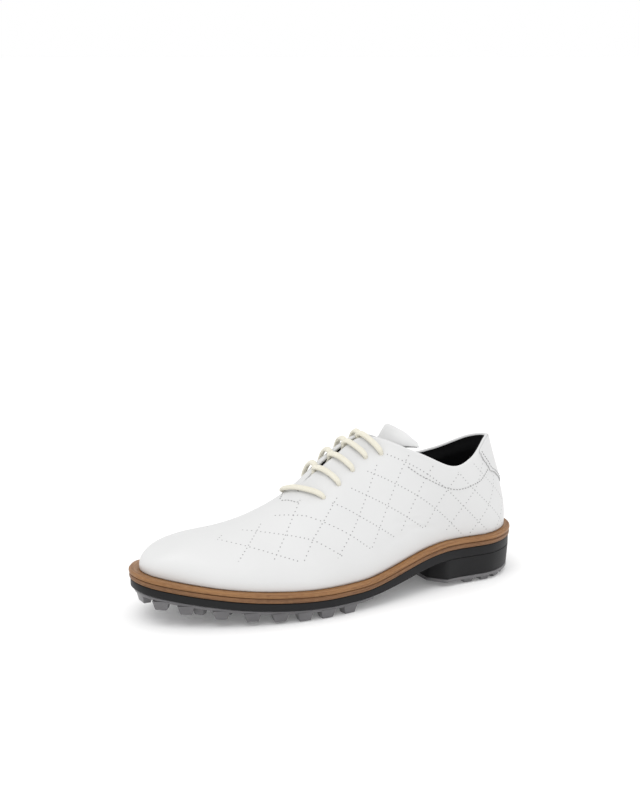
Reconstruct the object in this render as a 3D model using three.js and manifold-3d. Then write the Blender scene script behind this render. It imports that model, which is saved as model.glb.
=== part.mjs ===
// A left golf shoe of the oxford kind, men's size 43, in millimetres.
// +Z is up, the toe points to -X, the outer (lateral) side of the foot is -Y, and the origin
// lies on the ground under the middle of the shoe's box.
import * as THREE from 'three';
import { mergeVertices } from 'three/addons/utils/BufferGeometryUtils.js';
import Module from 'manifold-3d';

const wasm = await Module();
wasm.setup();

// Driving dimensions
const GAP = 0.3; // between pieces that touch
const LUG_DEPTH = 5.6; // forefoot lugs
const PLATE = 2.9; // forefoot outsole without its lugs
const MIDSOLE = 5.6; // at the forefoot
const MIDSOLE_WAIST = 7; // at the waist and heel
const WELT_LAYER = 3.35; // each of the two welt layers
const WELT_WIDTH = 13; // from the sole's edge to the welt's inner edge
const TOE_SPRING = 17; // rise of the toe tip over the ground
const SPRING_START = -18; // the sole lies flat behind here
const HEEL_LIFT = 14; // rise of the heel seat over the ball
const WAIST_FRONT = -2.5;
const WAIST_BACK = 85;
const LEATHER = 1.5; // thickness of the upper
const FEATHER_INSET = 4.6; // from the welt's edge to the upper
const TOE_INSET = 3; // extra inset at the toe tip
const LACE = 3.2; // lace diameter
const EYELET = 5; // diameter of the punched holes
const EYELETS = 5; // pairs

// The sole's outline: x, then y on the lateral and on the medial side, from toe tip to heel.
const OUTLINE = [
  [-152.5, 5.8, 5.8],
  [-147.5, -10.5, 22],
  [-130.5, -23.5, 42],
  [-95, -40.5, 49.5],
  [-62, -49.4, 52.9],
  [-32, -52.9, 50.3],
  [0, -50, 41.5],
  [35, -42.8, 36.6],
  [62, -37.2, 37.2],
  [90, -33.6, 39.2],
  [122.5, -32.8, 38.9],
  [144.5, -18.4, 24.4],
  [152.5, 2.9, 2.9],
];

// Where the ribs of the upper end, one row for each row of OUTLINE: the ridge of the vamp up to
// the throat, then the facing's edge, then the topline round to the heel. Columns: x, z, y lateral,
// y medial, z medial, then the rib's shape: rise and bulge at the sole, reach and drop at the top,
// and the slope of the ridge.
const THROAT = 5; // row of the throat's lower end
const TOP = [
  [-97, 57.8, 6.5, 6.5, 57.8, 15, 2.5, 30, 0, 0.02],
  [-95.5, 57.9, 6.5, 6.5, 57.9, 16, 2.5, 29, 0, 0.03],
  [-89, 58.5, 6.8, 6.8, 58.5, 17, 2, 27, 0, 0.08],
  [-74, 60.8, 7.3, 7.3, 60.8, 17, 1.5, 25, 0, 0.2],
  [-52, 66.5, 7.8, 7.8, 66.5, 20, 1, 23, 0, 0.36],
  [-27, 78.3, 8, 8, 78.3, 24, 0.5, 19, 0, 0.6],
  [3, 99.8, 3.1, 12.8, 99.8, 30, 0.5, 14, 12, 0.6],
  [31, 113, 3.2, 13, 113, 36, 0.5, 13, 12.5, 0.3],
  [60, 102.5, -20, 29, 101, 34, 1, 6, 20, 0],
  [85, 91, -30, 36, 87.5, 22, 1.5, 3, 20, 0],
  [106, 93.5, -24, 31, 90, 22, 2, 5, 22, 0],
  [127, 102, -8, 17, 100, 24, 2, 7, 26, 0],
  [135.3, 103.3, 2.9, 2.9, 103.3, 24, 1.5, 7, 28, 0],
];
const LAST_ROW = OUTLINE.length - 1;
// The instep stands higher on the medial side: drop there, for the rows round the lacing
const MEDIAL_DROP = new Map([
  [5, -2],
  [6, -2],
  [7, -1],
]);

// A smooth curve through table rows, read along one side of the shoe. At the toe tip and at the
// heel the curve runs on into the other side.
function alongSide(rowValue, medial, s) {
  const row = Math.min(Math.floor(s), LAST_ROW - 1);
  const t = s - row;
  const value = (i) => {
    if (i < 0) return rowValue(-i, !medial);
    if (i > LAST_ROW) return rowValue(2 * LAST_ROW - i, !medial);
    return rowValue(i, medial);
  };
  const [a, b, c, d] = [row - 1, row, row + 1, row + 2].map(value);
  return b + 0.5 * t * (c - a + t * (2 * a - 5 * b + 4 * c - d + t * (3 * (b - c) + d - a)));
}

const edge = (medial, s) =>
  new THREE.Vector2(
    alongSide((i) => OUTLINE[i][0], medial, s),
    alongSide((i, m) => OUTLINE[i][m ? 2 : 1], medial, s),
  );

function outward(medial, s) {
  const step = 0.02;
  const from = s > step ? edge(medial, s - step) : edge(!medial, step - s);
  const to = s < LAST_ROW - step ? edge(medial, s + step) : edge(!medial, 2 * LAST_ROW - s - step);
  const along = to.sub(from).normalize();
  return medial ? new THREE.Vector2(-along.y, along.x) : new THREE.Vector2(along.y, -along.x);
}

function insetEdge(medial, s, inset) {
  return edge(medial, s).addScaledVector(outward(medial, s), -inset);
}

// Heights of the sole's layers over the ground at x
const smooth = (x, from, to) => THREE.MathUtils.smoothstep(x, from, to);
const toeSpring = (x) => TOE_SPRING * Math.max(0, (SPRING_START - x) / (SPRING_START + 152.5)) ** 2;
const plateTop = (x) => LUG_DEPTH + PLATE + toeSpring(x) + HEEL_LIFT * smooth(x, WAIST_FRONT, WAIST_BACK);
const midsoleDepth = (x) => MIDSOLE + (MIDSOLE_WAIST - MIDSOLE) * smooth(x, 0, 50);
const weltBottom = (x) => plateTop(x) + GAP + MIDSOLE + GAP;
const weltTop = (x) => weltBottom(x) + 2 * WELT_LAYER + GAP;
const featherInset = (x) => FEATHER_INSET + TOE_INSET * (1 - smooth(x, -152.5, -100));

// A closed solid between an outer and an inner skin with the same faces, seen anticlockwise from outside.
function sheet(outer, inner, faces) {
  const n = outer.length;
  const index = [];
  const edges = new Map();
  for (const [a, b, c] of faces) {
    index.push(a, b, c, n + a, n + c, n + b);
    for (const [p, q] of [[a, b], [b, c], [c, a]]) edges.set(`${p},${q}`, [p, q]);
  }
  for (const [p, q] of edges.values()) {
    if (!edges.has(`${q},${p}`)) index.push(q, p, n + p, q, n + p, n + q);
  }
  const geometry = new THREE.BufferGeometry().setFromPoints([...outer, ...inner]);
  geometry.setIndex(index);
  return geometry;
}

function quads(cells) {
  const faces = [];
  for (const [a, b, c, d] of cells) {
    for (const face of [[a, b, c], [a, c, d]]) {
      if (new Set(face).size === 3) faces.push(face);
    }
  }
  return faces;
}

// Manifold solids for joining and cutting
function solid(geometry) {
  const bare = geometry.clone();
  bare.deleteAttribute('normal');
  bare.deleteAttribute('uv');
  const merged = mergeVertices(bare, 1e-4);
  return new wasm.Manifold(new wasm.Mesh({
    numProp: 3,
    vertProperties: new Float32Array(merged.attributes.position.array),
    triVerts: new Uint32Array(merged.index.array),
  }));
}

function geometryOf(manifold) {
  const mesh = manifold.getMesh();
  const geometry = new THREE.BufferGeometry();
  geometry.setAttribute('position', new THREE.BufferAttribute(mesh.vertProperties, 3));
  geometry.setIndex(new THREE.BufferAttribute(mesh.triVerts, 1));
  return geometry;
}

// Sole layers: a slab between two heights, inside the outline
const SLAB_STEP = 1 / 3; // rows of the table
const SLAB_ACROSS = 2;

function slab({ from = 0, to = LAST_ROW, inset = 0, top, bottom, trim = (x, y) => y }) {
  const insetAt = typeof inset === 'function' ? inset : () => inset;
  const columns = Math.round((to - from) / SLAB_STEP);
  const upper = [];
  const lower = [];
  const number = [];
  for (let i = 0; i <= columns; i++) {
    const s = from + i * SLAB_STEP;
    const middle = edge(false, s);
    const sides = [false, true].map((medial) => insetEdge(medial, s, insetAt(middle.x)));
    const pointed = s < 1e-6 || s > LAST_ROW - 1e-6;
    number.push([]);
    for (let k = 0; k <= SLAB_ACROSS; k++) {
      if (pointed && k > 0) {
        number[i].push(number[i][0]);
        continue;
      }
      const at = sides[0].clone().lerp(sides[1], k / SLAB_ACROSS);
      const y = trim(at.x, at.y);
      number[i].push(upper.length);
      upper.push(new THREE.Vector3(at.x, y, top(at.x)));
      lower.push(new THREE.Vector3(at.x, y, bottom(at.x)));
    }
  }
  const cells = [];
  for (let i = 0; i < columns; i++) {
    for (let k = 0; k < SLAB_ACROSS; k++) {
      cells.push([number[i][k], number[i + 1][k], number[i + 1][k + 1], number[i][k + 1]]);
    }
  }
  return sheet(upper, lower, quads(cells));
}

// A ring that follows the outline all round, such as a welt layer
function ring({ outerInset, innerInset, top, bottom }) {
  const perSide = LAST_ROW / SLAB_STEP;
  const upper = [];
  const lower = [];
  for (let i = 0; i < 2 * perSide; i++) {
    const medial = i > perSide;
    const s = (medial ? 2 * perSide - i : i) * SLAB_STEP;
    for (const inset of [outerInset, innerInset]) {
      const at = insetEdge(medial, s, inset);
      upper.push(new THREE.Vector3(at.x, at.y, top(at.x)));
      lower.push(new THREE.Vector3(at.x, at.y, bottom(at.x)));
    }
  }
  const count = upper.length;
  const cells = [];
  for (let i = 0; i < count; i += 2) {
    cells.push([i, (i + 2) % count, (i + 3) % count, i + 1]);
  }
  return sheet(upper, lower, quads(cells));
}

// The upper's outer surface: a rib from the welt to the ridge, the facing or the topline
function ribPoint(medial, s, h) {
  const column = (n) => alongSide((i) => TOP[i][n], medial, s);
  const foot = insetEdge(medial, s, featherInset(edge(medial, s).x));
  const out = outward(medial, s);
  const topX = column(0);
  const topY = alongSide((i, m) => TOP[i][m ? 3 : 2], medial, s);
  const topZ = alongSide((i, m) => TOP[i][m ? 4 : 1], medial, s);
  const [rise, bulge, reach, slope] = [5, 6, 7, 9].map(column);
  const drop = alongSide((i, m) => (m && MEDIAL_DROP.has(i) ? MEDIAL_DROP.get(i) : TOP[i][8]), medial, s);
  const floor = weltTop(foot.x) + GAP;
  return new THREE.CubicBezierCurve3(
    new THREE.Vector3(foot.x, foot.y, floor),
    new THREE.Vector3(foot.x + out.x * bulge, foot.y + out.y * bulge, floor + rise),
    new THREE.Vector3(topX + out.x * reach, topY + out.y * reach, topZ - drop + out.x * reach * slope),
    new THREE.Vector3(topX, topY, topZ),
  ).getPoint(h);
}

// The surface as a grid: columns run round the shoe from the toe tip along the lateral side to the
// heel and back along the medial side. Up to the throat both sides share the ridge's points.
const PER_ROW = 3; // columns for each row of the table
const SIDE_COLUMNS = LAST_ROW * PER_ROW;
const HEIGHTS = 8;
const columnPlace = (c) => {
  const medial = c > SIDE_COLUMNS;
  return { medial, s: (medial ? 2 * SIDE_COLUMNS - c : c) / PER_ROW };
};

function gridNumber(c, j) {
  const column = (c + 2 * SIDE_COLUMNS) % (2 * SIDE_COLUMNS);
  const { medial, s } = columnPlace(column);
  const shared = j === HEIGHTS && s <= THROAT && medial;
  return (shared ? 2 * SIDE_COLUMNS - column : column) * (HEIGHTS + 1) + j;
}

const gridPoints = [];
for (let c = 0; c < 2 * SIDE_COLUMNS; c++) {
  const { medial, s } = columnPlace(c);
  for (let j = 0; j <= HEIGHTS; j++) gridPoints.push(ribPoint(medial, s, j / HEIGHTS));
}

function gridCells(columns, rows) {
  const cells = [];
  for (let c = columns[0]; c < columns[1]; c++) {
    for (let j = rows[0]; j < rows[1]; j++) {
      cells.push([gridNumber(c, j), gridNumber(c + 1, j), gridNumber(c + 1, j + 1), gridNumber(c, j + 1)]);
    }
  }
  return cells;
}

const gridNormals = gridPoints.map(() => new THREE.Vector3());
for (const face of quads(gridCells([0, 2 * SIDE_COLUMNS], [0, HEIGHTS]))) {
  const [a, b, c] = face.map((i) => gridPoints[i]);
  const normal = b.clone().sub(a).cross(c.clone().sub(a));
  for (const i of face) gridNormals[i].add(normal);
}
for (const normal of gridNormals) normal.normalize();

// A layer of the upper over part of the grid, between two depths under the outer surface
function layer({ patches, depth }) {
  const faces = quads(patches.flatMap(([columns, rows]) => gridCells(columns, rows)));
  const used = [...new Set(faces.flat())];
  const renumber = new Map(used.map((old, i) => [old, i]));
  const at = (old, which) => {
    const place = columnPlace(Math.floor(old / (HEIGHTS + 1)));
    const depths = depth(place.s, (old % (HEIGHTS + 1)) / HEIGHTS);
    const point = gridPoints[old].clone().addScaledVector(gridNormals[old], -depths[which]);
    return point.setZ(Math.max(point.z, weltTop(point.x) + GAP));
  };
  return sheet(
    used.map((old) => at(old, 0)),
    used.map((old) => at(old, 1)),
    faces.map((face) => face.map((old) => renumber.get(old))),
  );
}

const column = (s) => Math.round(s * PER_ROW); // on the lateral side
const bothSides = (from, to, rows) => [
  [[column(from), column(to)], rows],
  [[2 * SIDE_COLUMNS - column(to), 2 * SIDE_COLUMNS - column(from)], rows],
];

// Depths of the layers under the surface; the collar is padded, so its lining lies deeper
const REINFORCEMENT = 0.9;
const LINING = 0.8;
const padding = (s, h) => 3 * smooth(s, 7.4, 9) * smooth(h, 0.5, 0.75) * (1 - smooth(h, 0.88, 1));
const middleDepth = (s, h) => [LEATHER + GAP, LEATHER + GAP + REINFORCEMENT + padding(s, h)];
const liningDepth = (s, h) => [middleDepth(s, h)[1] + GAP, middleDepth(s, h)[1] + GAP + LINING];

// Places over and under the facings: row of the table, share of the way from the throat's middle
// line to the eyelet (negative on the lateral side), and height over the leather.
const THROAT_Y = 8; // the throat's middle line
const THROAT_HALF_GAP = 4;
const surfaceNormal = (medial, s, h) => {
  const step = 0.01;
  const alongRow = ribPoint(medial, s + step, h).sub(ribPoint(medial, s - step, h));
  const up = ribPoint(medial, s, h).sub(ribPoint(medial, s, h - step));
  const normal = alongRow.cross(up).normalize();
  return medial ? normal.negate() : normal;
};

function onFacing(medial, s, setback, height) {
  const top = ribPoint(medial, s, 1);
  let h = 1;
  while (ribPoint(medial, s, h).distanceTo(top) < setback) h -= 0.004;
  return ribPoint(medial, s, h).addScaledVector(surfaceNormal(medial, s, h), height);
}

// The eyelets: their rows of the table, how far they stand back from the facing's edge, which
// shrinks from the first to the last, and how far the medial ones lie ahead of the lateral ones
const FIRST_EYELET = 5.5;
const EYELET_PITCH = 0.42;
const SETBACK_FIRST = 22;
const SETBACK_LAST = 13;
const MEDIAL_AHEAD = 0.27;
const eyeletRow = (k) => FIRST_EYELET + k * EYELET_PITCH;
const eyeletSetback = (s) =>
  THREE.MathUtils.mapLinear(s, FIRST_EYELET, eyeletRow(EYELETS - 1), SETBACK_FIRST, SETBACK_LAST);

function acrossThroat(s, across, height) {
  const medial = across > 0;
  const edgeToHole = eyeletSetback(s) + THROAT_HALF_GAP;
  const fromMiddle = Math.abs(across) * edgeToHole;
  const row = s - (MEDIAL_AHEAD * (1 + across)) / 2;
  if (fromMiddle > THROAT_HALF_GAP) return onFacing(medial, row, fromMiddle - THROAT_HALF_GAP, height);
  const share = 0.5 + (0.5 * across * edgeToHole) / THROAT_HALF_GAP;
  const [lateral, inner] = [false, true].map((side) => onFacing(side, row, 0, 0));
  return lateral.lerp(inner, share).add(new THREE.Vector3(-0.5 * height, 0, 0.86 * height));
}

const eyelet = (medial, k, height) => acrossThroat(eyeletRow(k), medial ? 1 : -1, height);

function punchEyelets(geometry, sides) {
  let piece = solid(geometry);
  for (const medial of sides) {
    for (let k = 0; k < EYELETS; k++) {
      const centre = eyelet(medial, k, -3);
      const outside = eyelet(medial, k, 0).sub(centre).normalize();
      const punch = new THREE.CylinderGeometry(EYELET / 2, EYELET / 2, 12, 10);
      punch.applyQuaternion(new THREE.Quaternion().setFromUnitVectors(new THREE.Vector3(0, 1, 0), outside));
      punch.translate(centre.x, centre.y, centre.z);
      piece = piece.subtract(solid(punch));
    }
  }
  return geometryOf(piece);
}

// The lace. Each strand runs from an eyelet under its facing, out of the throat's gap, over the
// other facing and down into the next eyelet there. Points: share of the way to the next row,
// share of the way across, height over the leather.
const STRAND_TO_LATERAL = [
  [0, 1, -5],
  [0.08, 0.86, -6.4],
  [0.22, 0.5, -6.4],
  [0.4, 0.22, -5.8],
  [0.47, 0.1, -3.9],
  [0.53, 0.01, -0.6],
  [0.6, -0.03, 2.5],
  [0.7, -0.2, 3.4],
  [0.85, -0.5, 2.8],
  [0.97, -0.86, 2.5],
  [1, -1, 0.6],
];
const STRAND_TO_MEDIAL = [
  [0, -1, -5],
  [0.08, -0.86, -6.4],
  [0.32, -0.52, -6.4],
  [0.56, -0.3, -6],
  [0.66, -0.14, -4.4],
  [0.72, -0.02, -1],
  [0.78, 0.04, 2.5],
  [0.85, 0.2, 3.5],
  [0.92, 0.5, 3.1],
  [0.98, 0.86, 2.5],
  [1, 1, 0.6],
];
const FIRST_BAR = [
  [0, -1, 0.6],
  [-0.12, -0.84, 2.4],
  [-0.45, -0.5, 2.7],
  [-0.75, -0.1, 2.8],
  [-0.85, 0.3, 2.8],
  [-0.7, 0.62, 2.6],
  [-0.3, 0.88, 2.4],
  [0, 1, 0.6],
];
// Each end goes down the wall inside the shoe and forward along the footbed: row, setback, height
const TAIL_DOWN = [
  [7.18, 14, -5],
  [7.2, 17.5, -6.3],
  [7.22, 26, -6.4],
  [7.22, 36, -6.4],
  [7.2, 46, -6.4],
  [7.14, 55, -6.6],
];
const TAIL_FORWARD = [22, 6, -12, -30]; // x of the points on the footbed
const TAIL_INSET = 18; // from the sole's edge

const strand = (points, k) =>
  points.map(([row, across, height]) => acrossThroat(eyeletRow(k) + row * EYELET_PITCH, across, height));

const BOARD = 1.7;
const FOOTBED_FOAM = 4;
const FOOTBED_COVER = 1;
const boardBottom = (x) => weltTop(x) + GAP;
const foamBottom = (x) => boardBottom(x) + BOARD + GAP;
const coverBottom = (x) => foamBottom(x) + FOOTBED_FOAM + GAP;
const footbedTop = (x) => coverBottom(x) + FOOTBED_COVER;

function rowAt(x) {
  let s = 1;
  while (edge(false, s).x < x) s += 0.01;
  return s;
}

function tail(medial) {
  const ahead = medial ? MEDIAL_AHEAD : 0;
  const down = TAIL_DOWN.map(([s, setback, height]) => onFacing(medial, s - ahead, setback, height));
  const forward = TAIL_FORWARD.map((x) => {
    const at = insetEdge(medial, rowAt(x), TAIL_INSET);
    return new THREE.Vector3(at.x, at.y, footbedTop(at.x) + LACE / 2 + 2 * GAP);
  });
  return [...down, ...forward];
}

function lacing() {
  const half = (startsMedial) => {
    const points = [];
    for (let k = 0; k < EYELETS - 1; k++) {
      const toLateral = (k % 2 === 0) === startsMedial;
      points.push(...strand(toLateral ? STRAND_TO_LATERAL : STRAND_TO_MEDIAL, k));
    }
    return [...points, ...tail(startsMedial)];
  };
  return [...half(false).reverse(), ...strand(FIRST_BAR, 0), ...half(true)];
}

// A tube with one ring of its section at each point of the route
class Route extends THREE.Curve {
  constructor(points) {
    super();
    this.through = new THREE.CatmullRomCurve3(points, false, 'centripetal');
  }

  getPoint(t) {
    return this.through.getPoint(t);
  }

  getPointAt(t) {
    return this.getPoint(t);
  }

  getTangentAt(t) {
    return this.getTangent(t);
  }
}

function tube(points, diameter) {
  const section = new THREE.Shape();
  section.absarc(0, 0, diameter / 2, 0, 2 * Math.PI);
  return new THREE.ExtrudeGeometry(section, {
    steps: points.length - 1,
    curveSegments: 4,
    extrudePath: new Route(points),
  });
}

const AGLET_LENGTH = 14;

function aglet(route) {
  const [end, before] = [route.at(-1), route.at(-2)];
  const along = end.clone().sub(before).setZ(0).normalize();
  const geometry = new THREE.CylinderGeometry(LACE / 2 - 0.2, LACE / 2 - 0.1, AGLET_LENGTH, 10);
  geometry.applyQuaternion(new THREE.Quaternion().setFromUnitVectors(new THREE.Vector3(0, 1, 0), along));
  const centre = end.clone().addScaledVector(along, AGLET_LENGTH / 2 + 2 * GAP);
  return geometry.translate(centre.x, centre.y, centre.z);
}

// The tongue: a strip along a centre line, arched over the instep, steeper on the medial side
const TONGUE_LINE = new THREE.CatmullRomCurve3([
  new THREE.Vector3(-38, THROAT_Y, 58),
  new THREE.Vector3(-12, THROAT_Y, 73.2),
  new THREE.Vector3(14, THROAT_Y, 88.2),
  new THREE.Vector3(31, THROAT_Y, 98),
  new THREE.Vector3(45, THROAT_Y, 107.5),
  new THREE.Vector3(54, THROAT_Y, 119),
]);
const TONGUE_STEPS = 14; // stations common to all its layers
const TONGUE_ACROSS = 8;
// Share of the way up, then half widths on the lateral and on the medial side
const TONGUE_WIDTHS = [
  [0, 12, 6],
  [0.3, 15, 7.5],
  [0.55, 14, 7],
  [0.68, 9.8, 6.2],
  [0.78, 10.4, 6.6],
  [0.92, 20, 10],
  [1, 17, 9],
];
const TONGUE_ARCH = { lateral: 20, medial: 10, top: 18 }; // radii

function tongueWidth(u, side) {
  const after = TONGUE_WIDTHS.findIndex((row, i) => i > 0 && row[0] >= u);
  const [a, b] = [TONGUE_WIDTHS[after - 1], TONGUE_WIDTHS[after]];
  return THREE.MathUtils.mapLinear(u, a[0], b[0], a[side], b[side]);
}

function tongueLayer(from, to, depths) {
  const skins = depths.map(() => []);
  const common = Array.from({ length: TONGUE_STEPS }, (_, i) => i / TONGUE_STEPS);
  const stations = [from, ...common.filter((u) => u > from + 0.02 && u < to - 0.02), to];
  for (const u of stations) {
    const centre = TONGUE_LINE.getPointAt(u);
    const along = TONGUE_LINE.getTangentAt(u);
    const up = new THREE.Vector3(-along.z, 0, along.x);
    for (let k = -TONGUE_ACROSS / 2; k <= TONGUE_ACROSS / 2; k++) {
      const [side, arch] = k < 0 ? [2, TONGUE_ARCH.medial] : [1, TONGUE_ARCH.lateral];
      const across = (2 * tongueWidth(u, side) * k) / TONGUE_ACROSS;
      const drop = across ** 2 / (2 * THREE.MathUtils.lerp(arch, TONGUE_ARCH.top, smooth(u, 0.5, 0.8)));
      depths.forEach((depth, which) => {
        const middle = new THREE.Vector3(centre.x, centre.y - across, centre.z);
        skins[which].push(middle.addScaledVector(up, -drop - depth));
      });
    }
  }
  const cells = [];
  const row = TONGUE_ACROSS + 1;
  for (let i = 0; i < stations.length - 1; i++) {
    for (let k = 0; k < TONGUE_ACROSS; k++) {
      const a = i * row + k;
      cells.push([a, a + 1, a + row + 1, a + row]);
    }
  }
  return sheet(skins[0], skins[1], quads(cells));
}

// A lug: a block that narrows towards the ground
function lug(x, y, length, width, turn, top, bottom) {
  const geometry = new THREE.BoxGeometry(length, width, top - bottom);
  const position = geometry.attributes.position;
  for (let i = 0; i < position.count; i++) {
    if (position.getZ(i) < 0) {
      position.setX(i, position.getX(i) * 0.68);
      position.setY(i, position.getY(i) * 0.74);
    }
  }
  geometry.rotateZ(turn);
  return geometry.translate(x, y, (top + bottom) / 2);
}

const LUG_INSET = 7.6; // from the sole's edge to a lug's middle
const LUG_ROOT = 1; // how far a lug reaches into its plate

function withLugs(plate, places, ground, plateBottom) {
  let sole = solid(plate);
  for (const { x, y, length, width, turn } of places) {
    sole = sole.add(solid(lug(x, y, length, width, turn, plateBottom(x) + LUG_ROOT, ground(x))));
  }
  return geometryOf(sole);
}

function edgeLugs(rows, length, width) {
  return [false, true].flatMap((medial) =>
    rows.map((s) => {
      const at = insetEdge(medial, s, LUG_INSET);
      const out = outward(medial, s);
      return { x: at.x, y: at.y, length, width, turn: Math.atan2(out.y, out.x) - Math.PI / 2 };
    }),
  );
}

const forefootLugs = [
  { x: -143, y: 6.5, length: 8, width: 13, turn: 0 },
  ...edgeLugs([1.45, 2.15, 2.75, 3.35, 3.95, 4.55, 5.15, 5.75], 12, 9),
  ...[-112, -91, -70, -49, -28, -9].flatMap((x) =>
    [-19, 4, 27].map((y) => ({ x, y, length: 9, width: 9, turn: Math.PI / 4 })),
  ),
];
const heelLugs = [
  { x: 145, y: 3, length: 6, width: 11, turn: 0 },
  ...edgeLugs([9.35, 9.8, 10.3, 10.85], 9.5, 8),
  ...[84, 100, 116].flatMap((x) => [-8, 13].map((y) => ({ x, y, length: 8, width: 8, turn: Math.PI / 4 }))),
];

// The heel: its front corners are cut off, more towards the toe
const HEEL_FRONT = 67.5;
const HEEL_CORNER = 86;
const HEEL_PLATE = 2.4;
const HEEL_LUG = 3.7;
const heelTrim = (x, y) => {
  const open = THREE.MathUtils.clamp((x - HEEL_FRONT) / (HEEL_CORNER - HEEL_FRONT), 0, 1);
  return THREE.MathUtils.clamp(y, -17 - 24 * open, 21 + 24 * open);
};
const heelPlateTop = HEEL_LUG + HEEL_PLATE;
const OUTSOLE_INSET = 2.6;

const midsoleTop = (x) => weltBottom(x) - GAP;
const midsoleBottom = (x) => midsoleTop(x) - midsoleDepth(x);
const forefootPlateTop = (x) => midsoleBottom(x) - GAP;
const forefootPlateBottom = (x) => forefootPlateTop(x) - PLATE;
const weltSplit = (x) => weltBottom(x) + WELT_LAYER;

const FOREFOOT_END = 6 + 1 / 3; // row where the forefoot outsole ends
const HEEL_START = 8 + 1 / 3; // row near the heel's front
const boardInset = (x) => featherInset(x) + LEATHER + REINFORCEMENT + LINING + 4 * GAP;
const footbedInset = (x) => boardInset(x) + 1.5 + 2 * (1 - smooth(x, -152.5, -90));

const paint = (color, roughness) => new THREE.MeshStandardMaterial({ color, roughness, metalness: 0 });
const leatherWhite = paint(0xe6e5e2, 0.45);
const liningBlack = paint(0x17171a, 0.9);
const foamGrey = paint(0x8c8f94, 0.95);
const weltTan = paint(0xb98650, 0.6);
const weltBrown = paint(0x9a6a3c, 0.65);
const midsoleBlack = paint(0x17181b, 0.4);
const lugGrey = paint(0x6e6b70, 0.35);
const boardBrown = paint(0x9b7b58, 0.85);
const corkBrown = paint(0xa9814f, 0.9);
const steel = new THREE.MeshStandardMaterial({ color: 0xa7abb0, roughness: 0.35, metalness: 1 });
const laceCream = paint(0xe9e4d2, 0.85);
const agletClear = paint(0xdcdad2, 0.3);

const shoe = new THREE.Group();

function add(name, geometry, material) {
  const mesh = new THREE.Mesh(geometry, material);
  mesh.name = name;
  shoe.add(mesh);
}

// Sole, from the ground up
const forefootPlate = slab({
  to: FOREFOOT_END,
  inset: OUTSOLE_INSET,
  top: forefootPlateTop,
  bottom: forefootPlateBottom,
});
add('outsole_forefoot', withLugs(forefootPlate, forefootLugs, toeSpring, forefootPlateBottom), lugGrey);
const heelPlate = slab({
  from: HEEL_START,
  inset: OUTSOLE_INSET,
  top: () => heelPlateTop,
  bottom: () => HEEL_LUG,
  trim: heelTrim,
});
add('outsole_heel', withLugs(heelPlate, heelLugs, () => 0, () => HEEL_LUG), lugGrey);
add('heel_block', slab({
  from: HEEL_START,
  inset: 1.6,
  top: (x) => midsoleBottom(x) - GAP,
  bottom: () => heelPlateTop + GAP,
  trim: heelTrim,
}), midsoleBlack);
add('midsole', slab({ inset: 0.8, top: midsoleTop, bottom: midsoleBottom }), midsoleBlack);
const weltRing = { outerInset: 0, innerInset: WELT_WIDTH };
add('welt_lower', ring({ ...weltRing, top: weltSplit, bottom: weltBottom }), weltBrown);
add('welt_upper', ring({ ...weltRing, top: weltTop, bottom: (x) => weltSplit(x) + GAP }), weltTan);

// Inside the welt and on it
const SHANK = 1.1;
const fillerTop = (x) => weltTop(x) - SHANK - GAP;
add('bottom_filler', slab({ inset: WELT_WIDTH + 0.4, top: fillerTop, bottom: weltBottom }), corkBrown);
add('shank', slab({
  from: 5 + 2 / 3,
  to: 9,
  inset: WELT_WIDTH + 1,
  top: (x) => fillerTop(x) + GAP + SHANK,
  bottom: (x) => fillerTop(x) + GAP,
  trim: (x, y) => THREE.MathUtils.clamp(y, -8, 8),
}), steel);
add('insole_board', slab({
  inset: boardInset,
  top: (x) => boardBottom(x) + BOARD,
  bottom: boardBottom,
}), boardBrown);
add('footbed_foam', slab({
  inset: footbedInset,
  top: (x) => foamBottom(x) + FOOTBED_FOAM,
  bottom: foamBottom,
}), foamGrey);
add('footbed_cover', slab({ inset: footbedInset, top: footbedTop, bottom: coverBottom }), liningBlack);

// Upper, from the outside in
const ALL_ROWS = [0, HEIGHTS];
const upper = layer({ patches: [[[0, 2 * SIDE_COLUMNS], ALL_ROWS]], depth: () => [0, LEATHER] });
add('upper', punchEyelets(upper, [false, true]), leatherWhite);
add('heel_tab', layer({
  patches: bothSides(10 + 2 / 3, LAST_ROW, [6, HEIGHTS]),
  depth: () => [-GAP - 1, -GAP],
}), leatherWhite);
add('toe_puff', layer({ patches: bothSides(0, 2 + 2 / 3, ALL_ROWS), depth: middleDepth }), boardBrown);
add('heel_counter', layer({ patches: bothSides(9 + 2 / 3, LAST_ROW, [0, 4]), depth: middleDepth }), boardBrown);
const STAY_ROWS = [4, HEIGHTS - 1];
const [lateralStay, medialStay] = bothSides(5 + 1 / 3, 7 + 1 / 3, STAY_ROWS);
for (const [name, patch, medial] of [
  ['eyelet_stay_lateral', lateralStay, false],
  ['eyelet_stay_medial', medialStay, true],
]) {
  add(name, punchEyelets(layer({ patches: [patch], depth: middleDepth }), [medial]), boardBrown);
}
add('collar_foam', layer({ patches: bothSides(8, LAST_ROW, [5, HEIGHTS]), depth: middleDepth }), foamGrey);
add('vamp_lining', layer({ patches: bothSides(0, THROAT, ALL_ROWS), depth: liningDepth }), liningBlack);
const LINED_THROAT_END = 7 + 1 / 3; // in front of this row the lining stays back from the facing's edge
const quarterLining = layer({
  patches: [
    ...bothSides(THROAT + 1 / 3, LINED_THROAT_END, [0, HEIGHTS - 1]),
    ...bothSides(LINED_THROAT_END, LAST_ROW, ALL_ROWS),
  ],
  depth: liningDepth,
});
add('quarter_lining', punchEyelets(quarterLining, [false, true]), liningBlack);

// Tongue
add('tongue_base', tongueLayer(0, 0.62, [0, 1.1]), liningBlack);
add('tongue_cap', tongueLayer(0.63, 1, [0, 1.3]), leatherWhite);
add('tongue_foam', tongueLayer(0.04, 0.97, [1.6, 4]), foamGrey);
add('tongue_lining', tongueLayer(0, 0.99, [4.3, 5]), liningBlack);

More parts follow.
